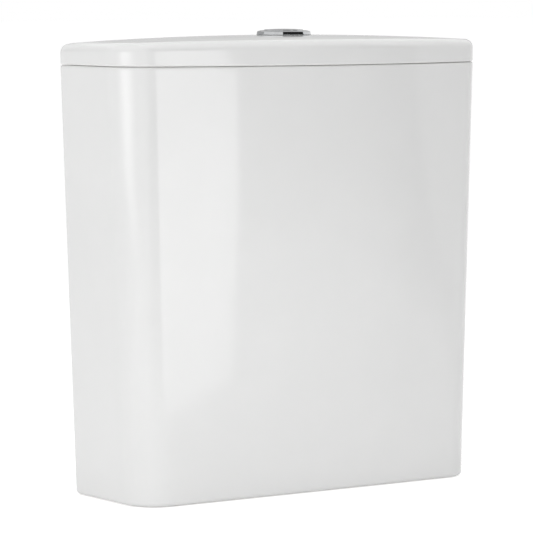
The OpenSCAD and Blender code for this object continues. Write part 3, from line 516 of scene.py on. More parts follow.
def plated(name, first, second):
    """Bright chrome plate: a clear mirror with faint polishing haze."""
    material, tree, shader, place = surface(name)
    shader.inputs["Metallic"].default_value = 1
    haze = noise(tree, place, 260, 4.0)
    tree.links.new(tint(tree, haze, first, second), shader.inputs["Base Color"])
    tree.links.new(spread(tree, haze, 0.02, 0.05), shader.inputs["Roughness"])
    return material


def drawn_wire(name, first, second):
    """Drawn stainless wire and pins: fine streaks round the height, half polished."""
    material, tree, shader, place = surface(name)
    shader.inputs["Metallic"].default_value = 1
    streak = tree.nodes.new("ShaderNodeMapping")
    streak.inputs["Scale"].default_value = (1, 1, 9)
    tree.links.new(place, streak.inputs["Vector"])
    grain = noise(tree, streak.outputs["Vector"], 900, 4.0)
    tree.links.new(tint(tree, grain, first, second), shader.inputs["Base Color"])
    tree.links.new(spread(tree, grain, 0.2, 0.36), shader.inputs["Roughness"])
    relief(tree, shader, grain, 0.1, 0.0002)
    return material


def moulded(name, first, second, gloss=0.32):
    """Moulded plastic: faint flow clouds and a fine spark-eroded grain."""
    material, tree, shader, place = surface(name)
    clouds = noise(tree, place, 40)
    tree.links.new(tint(tree, clouds, first, second), shader.inputs["Base Color"])
    grain = noise(tree, place, 1600, 2.0)
    tree.links.new(spread(tree, grain, gloss - 0.06, gloss + 0.08), shader.inputs["Roughness"])
    relief(tree, shader, grain, 0.12, 0.0002)
    return material


def soft_rubber(name, first, second):
    """Black rubber with a bloom that lightens it in patches and a dull grain."""
    material, tree, shader, place = surface(name)
    bloom = noise(tree, place, 120, 4.0)
    tree.links.new(tint(tree, bloom, first, second), shader.inputs["Base Color"])
    grain = noise(tree, place, 1100, 3.0)
    tree.links.new(spread(tree, grain, 0.55, 0.8), shader.inputs["Roughness"])
    relief(tree, shader, grain, 0.3, 0.0003)
    return material


TANK_GLAZE = glazed("tank_glaze", 0.0)
LID_GLAZE = glazed("lid_glaze", LID_Z * MM - BARE_HIGH / 2)
CHROME = plated("chrome_plate", (0.54, 0.55, 0.56), (0.60, 0.61, 0.62))
STEEL = drawn_wire("drawn_steel", (0.54, 0.54, 0.54), (0.64, 0.64, 0.64))
WHITE = moulded("white_moulding", (0.80, 0.81, 0.81), (0.86, 0.87, 0.87))
BLUE = moulded("blue_moulding", (0.15, 0.30, 0.46), (0.19, 0.36, 0.54))
RUBBER = soft_rubber("black_rubber", (0.035, 0.035, 0.038), (0.07, 0.07, 0.074))


# Ceramic

def outline(t, inset):
    """Plan outlines of the ceramic, one row for each height fraction t and inset: straight
    sides and back, a front that is an arc through both sides and the bow, and a fillet at
    each upright corner that touches the side and the front arc."""
    t, e = (np.asarray(v, float).reshape(-1, 1) for v in np.broadcast_arrays(t, inset))
    w = mix(BASE_W, RIM_W, t) / 2 - e
    back = BACK_Y - e
    front = BACK_Y - mix(BASE_D, RIM_D, t) + e
    bow = mix(BASE_BOW, RIM_BOW, t) * (w / (w + e)) ** 2
    corner = np.maximum(mix(BASE_CORNER, RIM_CORNER, t) - e, CAST_CORNER)
    rear = np.where(e < BACK_CORNER - 1, BACK_CORNER - e, CAST_CORNER)
    big = (w * w + bow * bow) / (2 * bow)
    mid = front + big
    turn = np.arcsin((w - corner) / (big - corner))
    corner_y = mid - (big - corner) * np.cos(turn)

    def arc(x, y, r, first, last, steps):
        a = first + (last - first) * np.linspace(0, 1, steps)[None, :]
        return np.stack([x + r * np.cos(a), y + r * np.sin(a)], axis=-1)

    def run(first, last, steps):
        s = np.linspace(0, 1, steps + 2)[1:-1][None, :, None]
        return first + (last - first) * s

    right = math.pi / 2
    front_right = arc(w - corner, corner_y, corner, turn - right, 0 * turn, 28)
    back_right = arc(w - rear, back - rear, rear, 0 * turn, 0 * turn + right, 10)
    back_left = arc(rear - w, back - rear, rear, 0 * turn + right, 0 * turn + 2 * right, 10)
    front_left = arc(corner - w, corner_y, corner, 0 * turn + 2 * right, 3 * right - turn, 28)
    front_arc = arc(0 * w, mid, big, 3 * right - turn, 3 * right + turn, 122)[:, 1:-1]
    return np.concatenate([
        front_right, run(front_right[:, -1:], back_right[:, :1], 12), back_right,
        run(back_right[:, -1:], back_left[:, :1], 50), back_left,
        run(back_left[:, -1:], front_left[:, :1], 12), front_left, front_arc], axis=1)


def at_heights(plan, z):
    """Outlines lifted to heights, one for each row or one for each point."""
    z = np.asarray(z, float)
    z = np.broadcast_to(z.reshape(len(plan), -1), plan.shape[:2])
    return np.concatenate([plan, z[..., None]], axis=-1)


def tank_rings():
    """Rings of the tank's skin as (height, inset): up the hollow underside's fillet, round
    the foot, up the outside, over the rim, down the inside and round the floor's edge."""
    c, s = 1 - np.cos(QUARTER), 1 - np.sin(QUARTER)
    foot = softened([(FLOOR_LOW - UNDER_FILLET, UNDER_IN, 0), (2, FOOT_IN, 1.0),
                     (0, FOOT_IN - 2, 1.0), (0, FOOT_EDGE + 0.5, 0)])[1:-1]
    outside = np.linspace(FOOT_EDGE, TANK_H - RIM_EDGE, 62)[1:-1]
    inside = np.linspace(TANK_H - RIM_EDGE, FLOOR_Z + FLOOR_FILLET, 26)[1:-1]
    z = np.concatenate([FLOOR_LOW - UNDER_FILLET * c, foot[:, 0], FOOT_EDGE * c, outside,
                        TANK_H - RIM_EDGE * s, TANK_H - RIM_EDGE * c, inside,
                        FLOOR_Z + FLOOR_FILLET * s])
    inset = np.concatenate([UNDER_IN + UNDER_FILLET * s, foot[:, 1], FOOT_EDGE * s, 0 * outside,
                            RIM_EDGE * c, WALL - RIM_EDGE * s, WALL + 0 * inside,
                            WALL + FLOOR_FILLET * c])
    return z, inset


def tank():
    """The tank: one skin through its rings, closed by the floor and the ceiling under it,
    with the holes for both valves and the fixing bolts."""
    z, inset = tank_rings()
    skin = patch(at_heights(outline(z / TANK_H, inset), z), caps=(True, True))
    low, high = FLOOR_LOW - 5, FLOOR_Z + 5
    holes = [rod_hole(*VALVE, TAIL_HOLE_R, low, high, 96), rod_hole(*FILL, INLET_HOLE_R, low, high),
             *(rod_hole(x, BOLT_Y, BOLT_R, low, high) for x in (BOLT_X, -BOLT_X))]
    return piece("tank", "cistern_tank", TANK_GLAZE, [skin], holes)


def crown(plan):
    """Height of the lid's top over points of its plan: a parabola along it, and across it a
    cubic on each side of the button's middle, nearly flat round the button."""
    across = np.abs(plan[..., 1] - BUTTON_Y) / CROSS_REACH
    return LID_TOP - CROWN * (plan[..., 0] / (RIM_W / 2)) ** 2 - CROSS_CROWN * across ** 3


def lid_skin():
    """The lid as a grid of rays from the button's middle, each running from the hole over
    the seat, the dome, the rounded edge, the side, the lower edge, the hollow's wall and
    ceiling, and back up the hole."""
    c, s = 1 - np.cos(QUARTER), 1 - np.sin(QUARTER)
    middle = np.array(BUTTON[:2])
    upper = outline(1, LID_EDGE)[0] - middle
    reach = np.linalg.norm(upper, axis=1)
    ray = upper / reach[:, None]

    def circles(line):
        plan = middle + ray[None] * line[:, 0][:, None, None]
        return at_heights(plan, line[:, 1])

    def spokes(first, last, steps):
        k = np.linspace(0, 1, steps)[:, None, None]
        return first + (last - first) * k

    seat = softened([(HOLE_R, SPOT_Z, 0), (HOLE_R, SEAT_Z, 0.8), (SEAT_R, SEAT_Z, 0.2),
                     (SEAT_R + 0.05, LID_TOP - 0.05, 0)])
    top = spokes(middle + ray * (SEAT_R + 0.4), middle + upper, 56)
    edge = outline(1, LID_EDGE * c[::-1])
    wall_plan = np.repeat(outline(1, 0), 9, axis=0)
    wall_top = crown(wall_plan[:1]) - LID_EDGE
    wall_z = mix(wall_top, LID_Z + LID_FOOT, np.linspace(0, 1, 11)[1:-1][:, None])
    foot = outline(1, LID_FOOT * s[::-1])
    lip = softened([(LID_FOOT, LID_Z, 0), (LID_SKIRT, LID_Z, 0.8), (LID_SKIRT, LID_Z + 3, 0)])[1:]
    fillet = outline(1, LID_SKIRT + LID_FILLET * s[::-1])
    ceiling = spokes(fillet[-1], middle + ray * (SPOT_R + 0.5), 20)[1:]
    spot = np.array([[SPOT_R, SPOT_Z], [26, SPOT_Z], [HOLE_R + 0.5, SPOT_Z],
                     [HOLE_R, SPOT_Z + 0.5]])
    return patch(np.concatenate([
        circles(seat[1:]),
        at_heights(top, crown(top)),
        at_heights(edge, crown(edge) - LID_EDGE * s[::-1][:, None])[1:],
        at_heights(wall_plan, wall_z),
        at_heights(foot, LID_Z + LID_FOOT * c[::-1]),
        at_heights(outline(1, lip[:, 0]), lip[:, 1]),
        at_heights(fillet, crown(fillet) - LID_T - LID_FILLET * c[::-1][:, None]),
        at_heights(ceiling, crown(ceiling) - LID_T),
        circles(spot)]), along=True)


def lid_lug(middle, half, grow):
    """A locating lug: a round-cornered bar, drawn in at its tip, that grows towards the
    skirt at its root."""
    middle, half, grow = (np.array(v, float)[:, None] for v in (middle, half, grow))
    z = LUG_LOW + np.array([0, 0.15, 0.6, 1.4, 2.5, 6.5, 7.6, 8.6, 10, 20])
    inset = np.array([1.5, 0.9, 0.4, 0.1, 0, 0, 0, 0, 0, 0])
    root = np.array([0, 0, 0, 0, 0, 0, 0.15, 0.6, 1, 1])
    x, y = rounded_rectangle(*(half + np.abs(grow) / 2 * root - inset), 0 * z + LUG_CORNER)
    shift = (middle + grow / 2 * root)[..., None]
    return patch(stacked(x + shift[0], y + shift[1], z), caps=(True, True))


def lid():
    """The lid with its four lugs, one at each end and two at the back."""
    end_half, back_half = (LUG_T / 2, LUG_W / 2), (LUG_W / 2, LUG_T / 2)
    lug_patches = [lid_lug((SIDE_LUG_X, 0), end_half, (LUG_T, 0)),
                   lid_lug((-SIDE_LUG_X, 0), end_half, (-LUG_T, 0)),
                   lid_lug((BACK_LUG_X, BACK_LUG_Y), back_half, (0, LUG_T)),
                   lid_lug((-BACK_LUG_X, BACK_LUG_Y), back_half, (0, LUG_T))]
    return piece("lid", "cistern_lid", LID_GLAZE, [lid_skin(), *lug_patches])


tank()
lid()


# Flush button

def bezel():
    """The bezel's domed ring, its threaded sleeve and the shelf with two rod holes. The dome
    lies between an arc and a straight slope: across ** 1.7 + up ** 1.7 = 1."""
    shoulder = BEZEL_R - 0.7
    across = np.sin(np.linspace(math.pi / 2, 0, 25))
    up = (1 - across ** DOME_POWER) ** (1 / DOME_POWER)
    dome = np.stack([mix(DOME_R, shoulder, across), mix(DOME_Z, DOME_TOP, up)], axis=-1)
    below = softened([(0, SHELF_Z, 0), (SLEEVE_R, SHELF_Z, 0.6), (SLEEVE_R, BEZEL_Z, 0.1),
                      (BEZEL_R - 0.2, BEZEL_Z, 0.3), (BEZEL_R - 0.3, BEZEL_Z + 0.9, 0.8),
                      (shoulder, DOME_Z, 0)])[:-1]
    inside = softened([(DOME_R, DOME_TOP, 0), (WELL_R, DOME_TOP, 0.15), (WELL_R, SHELF_TOP, 0.5),
                       (0, SHELF_TOP, 0)])[1:]
    line = dense(np.concatenate([below, dome, inside]), 0.45)
    line[[0, -1], 0] = POLE_R
    screw = thread(SHELF_Z + 1, BEZEL_Z - 1, 2.5, 0.55, 18.0)
    body = patch(turned(line, BUTTON, 128, radius=screw), caps=(True, True))
    holes = [rod_hole(x, ROD_Y, ROD_R + 0.4, SHELF_Z - 2, SHELF_TOP + 2, 32)
             for x in (-ROD_X, ROD_X)]
    return piece("bezel", "button_bezel", CHROME, [body], holes)


def flush_cap(name, node, side, steps=160, blend=14):
    """A button's cap: rays from its middle reach the disc's rim or the straight split,
    whichever is nearer, blended so that its corners are round; rows run over the crown,
    round the edge, down the side and across the underside."""
    split = SPLIT_X + side * SPLIT_GAP / 2
    middle_x = (split + side * CAP_R) / 2
    a = np.linspace(0, 2 * math.pi, steps, endpoint=False)
    dx, dy = np.cos(a), np.sin(a)
    to_rim = -middle_x * dx + np.sqrt(CAP_R ** 2 - (middle_x * dy) ** 2)
    to_split = np.abs(middle_x - split) / np.maximum(-side * dx, 1e-6)
    reach = (to_rim ** -blend + to_split ** -blend) ** (-1 / blend)
    c, s = 1 - np.cos(QUARTER[::-1]), 1 - np.sin(QUARTER[::-1])
    over = np.linspace(0.04, 1, 16)[:, None] * (reach - CAP_EDGE)
    rim = reach - CAP_EDGE * c[1:, None]
    skirt = np.repeat(reach[None], 4, axis=0)
    under = np.stack([reach - 0.3, reach * 0.5])
    rays = np.concatenate([over, rim, skirt, under])
    x, y = middle_x + rays * dx, rays * dy
    top = CAP_TOP + CAP_CROWN * (1 - (x ** 2 + y ** 2) / CAP_R ** 2)
    drop = np.concatenate([np.zeros(len(over)), CAP_EDGE * s[1:]])[:, None]
    down = np.concatenate([np.linspace(CAP_TOP - 1.2, CAP_Z + 0.3, 4), [CAP_Z, CAP_Z]])[:, None]
    z = np.concatenate([top[:len(drop)] - drop, np.repeat(down, steps, axis=1)])
    cap = patch(np.stack([x, y + BUTTON_Y, z], axis=-1), caps=(True, True))
    boss = ring(band(ROD_R + 0.05, BOSS_R, BOSS_Z, CAP_Z + 0.5, (0.2, 0.5, 0, 0)),
                (side * ROD_X, ROD_Y, 0), 48)
    return piece(name, node, CHROME, [cap, boss])


def push_rod(name, node, side):
    """A push rod: a threaded bar with a round tip."""
    screw = thread(ROD_LOW + 6, ROD_HIGH, 1.2, 0.3, 2.0)
    rod = spindle(bar(ROD_R, ROD_LOW, ROD_HIGH, 1.2, 0.3), (side * ROD_X, ROD_Y, 0), 32, screw, 0.15)
    return piece(name, node, WHITE, [rod])


def button_spring(name, node, side):
    """A return spring: a wire along an even helix from the shelf to the boss."""
    turn = np.linspace(0, 2 * math.pi * SPRING_TURNS, 40 * SPRING_TURNS + 1)
    share = turn / turn[-1]
    z = SHELF_TOP + WIRE_R + (BOSS_Z - SHELF_TOP - 2 * WIRE_R) * share
    radial = np.stack([np.cos(turn), np.sin(turn), 0 * turn], axis=-1)
    path = SPRING_R * radial + np.stack([0 * z + side * ROD_X, 0 * z + ROD_Y, z], axis=-1)
    spring = piece(name, node, STEEL, [tube(path, radial, WIRE_R)], sharp=60)
    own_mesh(spring)
    return spring


bezel()
for side, kind in ((1, "full"), (-1, "half")):
    flush_cap(f"{kind}_flush_cap", f"{kind}_flush_button", side)
    push_rod(f"{kind}_push_rod", f"{kind}_flush_rod", side)
    button_spring(f"{kind}_return_spring", f"{kind}_button_spring", side)
piece("button_gasket", "bezel_gasket", RUBBER,
      [ring(band(NUT_BORE, BEZEL_R - 0.4, SEAT_Z, BEZEL_Z, (0.15, 0.2, 0.2, 0.15)), BUTTON)])
piece("button_nut", "bezel_nut", WHITE,
      [ring(band(NUT_BORE, NUT_R, SPOT_Z - NUT_T, SPOT_Z, (0.4, 0.8, 0.8, 0.4)), BUTTON, 180,
            lugs(6, 22, 3, 0.2), 1.0)])


# Flush valve, fixed pieces

def valve_base():
    """The valve's threaded tail, its flange and the lip that the seal sits on."""
    mouth, throat, lip = 20.5, 19.4, 22.65
    profile = [(mouth, TAIL_LOW, 0.3), (TAIL_R, TAIL_LOW, 0.8), (TAIL_R, WASHER_TOP, 0.2),
               (FLANGE_R, WASHER_TOP, 0.5), (FLANGE_R, FLANGE_TOP, 0.8), (TAIL_R, FLANGE_TOP, 0.4),
               (TAIL_R, LIP_Z - 1, 0.3), (lip, LIP_Z - 1, 0.1), (lip, LIP_Z, 0.4),
               (throat, LIP_Z, 0.4), (throat, FLOOR_LOW, 0.3), (mouth, FLOOR_LOW, 0.3)]
    screw = thread(TAIL_LOW + 2, WASHER_TOP - 1, 3.0, 1.0, 23)
    piece("valve_tail", "flush_valve_base", WHITE,
          [ring(profile, VALVE_AXIS, 112, screw, 0.5)])


def basket():
    """The basket: a turned cage with four round-cornered windows, a deck, and two sockets
    for the bridge's legs."""
    inner, outer, foot = 27.8, 30.0, 31.2
    ceiling, foot_top = DECK_Z - DECK_T, FLANGE_TOP + 5
    shell = ring([(inner, FLANGE_TOP, 0.2), (foot, FLANGE_TOP, 0.4), (foot, foot_top, 0.5),
                  (outer, foot_top, 0.4), (outer, DECK_Z, 1.4), (GUIDE_R, DECK_Z, 0.5),
                  (GUIDE_R, ceiling, 0.3), (inner, ceiling, 1.0)], VALVE_AXIS, 112, gap=4.0)
    x, y = VALVE
    half, reach, low, high = 15.0, 40.0, 59.5, 103.5
    windows = [block((x - half, y - reach, low), (x + half, y + reach, high), 6, 0.1, "y"),
               block((x - reach, y - half, low), (x + reach, y + half, high), 6, 0.1, "x")]
    sleeves = [socket((leg, y), (4.0, 8.0), 1.8, DECK_Z - 0.5, DECK_Z + 40)
               for leg in (-LEG_X, LEG_X)]
    piece("basket_cage", "valve_basket", WHITE, [shell], windows)
    piece("basket_sockets", "valve_basket", WHITE, sleeves)


def bridge_leg(x):
    """A leg and its cheek: a round-cornered bar carried upwards, whose front and back edges
    follow the height: straight with a row of height marks, then out to the cheek, and in
    again round the top."""
    z = np.concatenate([np.linspace(DECK_Z, CHEEK_LOW, 480),
                        np.linspace(CHEEK_LOW, CHEEK_FULL, 26)[1:],
                        np.linspace(CHEEK_FULL, CHEEK_TOP, 18)[1:],
                        CHEEK_TOP + CHEEK_ROUND * np.sin(QUARTER)[1:]])
    grow = eased((z - CHEEK_LOW) / 12)
    over = np.clip(z - CHEEK_TOP, 0, CHEEK_ROUND)
    round_off = CHEEK_ROUND - np.sqrt(CHEEK_ROUND ** 2 - over ** 2)
    front = mix(VALVE[1] - LEG_W / 2, CHEEK_FRONT, grow) + round_off
    back = mix(VALVE[1] + LEG_W / 2, CHEEK_BACK, grow) - round_off
    first_mark, last_mark, pitch, depth = 164.0, 224.0, 6.0, 1.2
    from_mark = np.abs((z - first_mark + pitch / 2) % pitch - pitch / 2)
    marked = (z > first_mark - 4) & (z < last_mark + 2)
    back = back - depth * np.clip((1 - from_mark) / 0.3, 0, 1) * marked
    px, py = rounded_rectangle(0 * z + LEG_T / 2, (back - front) / 2, 0 * z + 0.8, 5)
    return patch(stacked(px + x, py + ((front + back) / 2)[:, None], z), caps=(True, True))


def bridge():
    """The bridge: two legs, the beam between their cheeks, and the ring and eye that guide
    the tube and the lift rod."""
    top = GUIDE_Z + GUIDE_T
    beam = block((-LEG_X, -7.2, 300), (LEG_X, -2.6, CHEEK_TOP), 1.0, 0.8)
    guide = ring(band(GUIDE_R, GUIDE_R + 3, GUIDE_Z, top, (0.4, 0.5, 0.5, 0.4)), VALVE_AXIS, 96)
    eye = ring(band(2.6, 5.1, GUIDE_Z, top, (0.3, 0.5, 0.5, 0.3)), LIFT_AXIS, 48)
    low, high = GUIDE_Z + 0.3, top - 0.3
    arms = [block((x - 4.2, 9.5, low), (x + 4.2, 20.5, high), 0.8, 0.5) for x in (-18.3, 18.3)]
    neck = block((-13.2, 27, low), (-4.0, 32, high), 0.8, 0.5)
    piece("bridge", "bridge_frame", WHITE,
          [bridge_leg(-LEG_X), bridge_leg(LEG_X), beam, guide, eye, neck, *arms])


def flush_lever(name, node, side):
    """A lever: round-cornered sections carried along it, each as high as the greatest of its
    two round pads, its tapered web and its hub there, tilted about the pin, on a long tube."""
    press, lift, pad_r, hub_r = -12.0, 14.0, 3.0, 4.5
    thin, thick = 1.8, 3.6
    q = np.linspace(0, math.pi / 2, 12)
    along = np.concatenate([press - pad_r * np.cos(q), np.linspace(press + 0.2, lift - 0.2, 90),
                            lift + pad_r * np.sin(q)])

    def dome(middle, r):
        return np.sqrt(np.clip(r * r - (along - middle) ** 2, 0, None))

    pads = np.maximum(dome(press, pad_r), dome(lift, pad_r))
    inside = (along > press) & (along < lift)
    above = np.interp(along, [press, 0, lift / 2, lift], [thin, thick, thin, thin]) * inside
    below = np.interp(along, [press, 0, lift], [thin, thick, thin]) * inside
    top = np.maximum.reduce([pads, above, dome(0, hub_r)])
    low = -np.maximum.reduce([pads, below, dome(0, hub_r)])
    half = np.maximum((top - low) / 2, 0.05)
    px, up = rounded_rectangle(0 * along + 3.0, half, np.minimum(0.5, half * 0.9), 5)
    up = up + ((top + low) / 2)[:, None]
    c, s = math.cos(LEVER_TILT), math.sin(LEVER_TILT)
    y = LEVER_PIN[1] + along[:, None] * c + up * s
    z = LEVER_PIN[2] - along[:, None] * s + up * c
    arm = patch(np.stack([px + side * ROD_X, y, z], axis=-1), caps=(True, True))
    low_x, high_x = sorted((side * 0.4, side * 19.6))
    hub = ring(band(PIN_R + 0.1, hub_r, low_x, high_x, (0.2, 0.4, 0.4, 0.2)), LEVER_PIN, 64, axis="x")
    piece(name, node, BLUE, [arm, hub])


def pan_seal():
    """The coupling seal round the tail: a tapered rubber ring under the tank."""
    inner, outer, top = 31.0, 37.5, FLOOR_LOW - 0.3
    piece("pan_seal", "coupling_seal", RUBBER,
          [ring([(inner, top, 0.6), (inner, top - 21, 1.2), (inner + 2.5, top - 21, 1.2),
                 (outer, top - 10.5, 3.0), (outer, top, 1.2)], VALVE_AXIS, 128)])


valve_base()
basket()
bridge()
flush_lever("full_lever", "full_flush_lever", 1)
flush_lever("half_lever", "half_flush_lever", -1)
piece("tail_washer", "valve_base_washer", RUBBER,
      [ring(band(TAIL_BORE, FLANGE_R, FLOOR_Z, WASHER_TOP, (0.4, 0.9, 0.9, 0.4)), VALVE_AXIS)])
piece("tail_nut", "valve_back_nut", WHITE,
      [ring(band(TAIL_BORE, 30.5, FLOOR_LOW - 12, FLOOR_LOW, (0.5, 1.0, 0.6, 0.4)), VALVE_AXIS, 200,
            lugs(8, 25.5, 3, 0.22), 1.0)])
pan_seal()
PIN_END = LEG_X + LEG_T / 2 + 0.2
piece("pivot_pin", "lever_pin", STEEL,
      [spindle(bar(PIN_R, -PIN_END, PIN_END, 0.4, 0.4), LEVER_PIN, 32, axis="x")])


# Flush valve, pieces that lift

def hook(x):
    """The hook that a lever lifts: a block that reaches over the lever's end."""
    return block((x - 3, 24.5, HOOK_Z), (x + 3, 35.5, HOOK_Z + HOOK_T), 0.8, 0.8)


def overflow():
    """The overflow tube, with its collar, the bead round its mouth, and the arm and hook."""
    low, high, mouth, arm_top = 250.0, 262.0, 285.0, HOOK_Z + HOOK_T - 0.5
    pipe = ring([(TUBE_BORE, PLATE_LOW, 0.3), (TUBE_R, PLATE_LOW, 0.3), (TUBE_R, low, 0.3),
                 (TUBE_R + 2, low, 0.6), (TUBE_R + 2, high, 1.0), (TUBE_R, high, 0.4),
                 (TUBE_R, mouth - 3, 0.4), (TUBE_R + 1, mouth - 3, 0.6), (TUBE_R + 1, mouth, 1.1),
                 (TUBE_BORE, mouth, 0.8)], VALVE_AXIS, 96)
    arm = [block((ROD_X - 3, 26.5, low), (ROD_X + 3, 35.5, high), 0.8, 0.6),
           block((ROD_X - 2.7, 32.8, low + 0.5), (ROD_X + 2.7, 35.2, arm_top), 0.8, 0.4)]
    piece("overflow_pipe", "overflow_tube", WHITE, [pipe, *arm, hook(ROD_X)])


def retainer():
    """The spigot under the seal: a turned hub with four fins."""
    flange, neck, flange_low = 18.2, 15.0, SEAL_LOW - 2
    hub = ring([(TUBE_BORE, flange_low, 0.2), (flange, flange_low, 0.5), (flange, SEAL_LOW, 0.3),
                (neck, SEAL_LOW, 0.1), (neck, PLATE_LOW, 0.3), (TUBE_BORE, PLATE_LOW, 0.2)],
               VALVE_AXIS)
    near, far, half, low, high = 11.3, 19.0, 1.0, 38.3, 51.0
    y = VALVE[1]
    reaches = ((near, far), (-far, -near))
    fins = [block((a, y - half, low), (b, y + half, high), 0.5, 0.5) for a, b in reaches]
    fins += [block((-half, y + a, low), (half, y + b, high), 0.5, 0.5) for a, b in reaches]
    piece("seal_spigot", "seal_retainer", WHITE, [hub, *fins])


def half_float():
    """The half-flush float: an upturned rectangular cup, from its inner ceiling down, round
    the lip, up the outside and over the top's rounded edge."""
    wall, lip, edge = 1.6, 0.4, 2.0
    low, ceiling, shoulder = 118.3, 156.7, 156.3
    inset = np.concatenate([[4, wall, wall, wall - lip, lip, 0, 0], edge * (1 - np.cos(QUARTER))])
    z = np.concatenate([[ceiling, ceiling - 1, low + lip, low, low, low + lip, 155],
                        shoulder + edge * np.sin(QUARTER)])
    x, y = rounded_rectangle(12 - inset, 9 - inset, np.maximum(4 - inset, 0.6))
    cup = patch(stacked(x + LIFT_AXIS[0], y + LIFT_AXIS[1] + 5, z), caps=(True, True))
    boss = ring(band(2.25, 4.2, 157, 160.3, (0.2, 0.2, 0.8, 0.3)), LIFT_AXIS, 40)
    piece("half_float_cup", "half_flush_float", BLUE, [cup, boss])


def piston_float():
    """The piston's float: an upturned ring-shaped cup on the seal plate."""
    inner, outer, wall, top = 13.1, 24.8, 1.6, 105.3
    piece("piston_float", "flush_float", BLUE,
          [ring([(inner, PLATE_TOP, 0.4), (inner + wall, PLATE_TOP, 0.4),
                 (inner + wall, top - wall, 0.8), (outer - wall, top - wall, 0.8),
                 (outer - wall, PLATE_TOP, 0.4), (outer, PLATE_TOP, 0.4), (outer, top, 2.0),
                 (inner, top, 0.8)], VALVE_AXIS)])


overflow()
retainer()
half_float()
piece("seal_plate", "seal_carrier", WHITE,
      [ring(band(TUBE_R + 0.1, 26, PLATE_LOW, PLATE_TOP, (0.2, 0.6, 1.0, 0.4)), VALVE_AXIS)])
piece("piston_seal", "flush_seal", RUBBER,
      [ring(band(15.2, 25.5, SEAL_LOW, PLATE_LOW, (0.4, 0.8, 0.5, 0.2)), VALVE_AXIS)])
piston_float()
piece("lift_rod", "half_flush_lift_rod", WHITE,
      [spindle(bar(2.2, 138, HOOK_Z + HOOK_T - 0.5, 0.5, 0.4), LIFT_AXIS, 40), hook(LIFT_AXIS[0])])


# Fill valve

def fill_float():
    """The float: an upturned turned cup round the riser, with the lug that the rod hangs
    from."""
    inner, outer, wall, ceiling = 11.0, 26.0, 2.0, FLOAT_TOP - 6
    cup = ring([(inner, FLOAT_LOW, 0.4), (inner + wall, FLOAT_LOW, 0.4), (inner + wall, ceiling, 0.8),
                (outer - wall, ceiling, 0.8), (outer - wall, FLOAT_LOW, 0.4), (outer, FLOAT_LOW, 0.6),
                (outer, FLOAT_TOP, 5.0), (inner, FLOAT_TOP, 1.0)], FILL_AXIS, 112)
    x, y = FILL
    lug = block((x + 22.5, y - 5, FLOAT_TOP - 10), (LINK_AXIS[0] + 5, y + 5, FLOAT_TOP), 3.0, 1.0)
    piece("float_cup", "fill_float", BLUE, [cup, lug])


def inlet_riser():
    """The threaded inlet with its flange, and the riser with the float's stop and the collar
    that the head sits on."""
    mouth, low, step, stop, collar = 7.0, 4.0, 18.0, 146.0, HEAD_LOW - 4
    profile = [(mouth, low, 0.4), (INLET_R, low, 0.8), (INLET_R, WASHER_TOP, 0.2),
               (INLET_FLANGE_R, WASHER_TOP, 0.5), (INLET_FLANGE_R, FLANGE_TOP, 0.8),
               (RISER_R, FLANGE_TOP, 0.8), (RISER_R, stop, 0.5), (RISER_R + 5, stop, 0.6),
               (RISER_R + 5, stop + 4, 0.6), (RISER_R, stop + 4, 0.5), (RISER_R, collar, 0.5),
               (RISER_R + 3, collar, 0.5), (RISER_R + 3, HEAD_LOW, 0.4), (RISER_R, HEAD_LOW, 0.2),
               (RISER_R, RISER_TOP, 0.5), (RISER_BORE, RISER_TOP, 0.4), (RISER_BORE, step, 0.4),
               (mouth, step, 0.4)]
    screw = thread(low + 1, WASHER_TOP - 1, 1.8, 0.7, RISER_R + 0.2)
    piece("inlet_riser", "fill_valve_body", WHITE,
          [ring(profile, FILL_AXIS, 72, screw, 0.6)])


def valve_head():
    """The head: a turned cup with four square outlets."""
    bore, room, ceiling = 10.1, 13.2, HEAD_TOP - 8
    cup = ring([(bore, HEAD_LOW, 0.3), (HEAD_R, HEAD_LOW, 1.0), (HEAD_R, HEAD_TOP, 0.5),
                (room, HEAD_TOP, 0.3), (room, ceiling, 0.4), (bore, ceiling, 0.4)],
               FILL_AXIS, 96, gap=3.0)
    x, y = FILL
    half, reach, low, high = 3.0, 20.0, 246.0, 252.0
    outlets = [block((x - reach, y - half, low), (x + reach, y + half, high), 1.0, 0.1, "x"),
               block((x - half, y - reach, low), (x + half, y + reach, high), 1.0, 0.1, "y")]
    piece("valve_head", "fill_valve_head", WHITE, [cup], outlets)


def valve_diaphragm():
    """The diaphragm: a rubber disc with a shallow ring-shaped hollow in its top."""
    radius, top, hollow = 12.8, RISER_TOP + 2.5, RISER_TOP + 1.8
    piece("valve_diaphragm", "fill_valve_diaphragm", RUBBER,
          [spindle([(0, RISER_TOP, 0), (radius, RISER_TOP, 0.6), (radius, top, 0.6), (11, top, 0.3),
                    (10, hollow, 0.3), (4, hollow, 0.3), (3, top, 0.3), (0, top, 0)], FILL_AXIS, 72)])


def scalloped(r, z, angle):
    """The cap's grip: fourteen round hollows below the rim's radius, from a step above its
    underside to its top; radii well inside are kept."""
    wave = np.clip(np.cos(angle * 14 + math.pi) - 0.55, 0, None) / 0.45
    up = np.clip((z - HEAD_TOP - 0.8) / 0.4, 0, 1)
    return np.where(r > HEAD_R - 2, r - 0.75 * wave * up, r)


def ear(y, half=5.0, thick=3.0):
    """One ear of the cap: an upright plate with a round top about the lever's pin."""
    pin_x, _, pin_z = FLOAT_PIN
    a = np.linspace(0, math.pi, 40)
    sides = np.linspace(HEAD_CAP_TOP - 0.5, pin_z, 12)[:-1]
    line = np.concatenate([np.stack([0 * sides + half, sides], axis=-1),
                           np.stack([half * np.cos(a), pin_z + half * np.sin(a)], axis=-1),
                           np.stack([0 * sides - half, sides[::-1]], axis=-1)])
    line[:, 0] += pin_x
    return plate(line[::-1, ::-1], y - thick / 2, y + thick / 2, "y", 0.4)


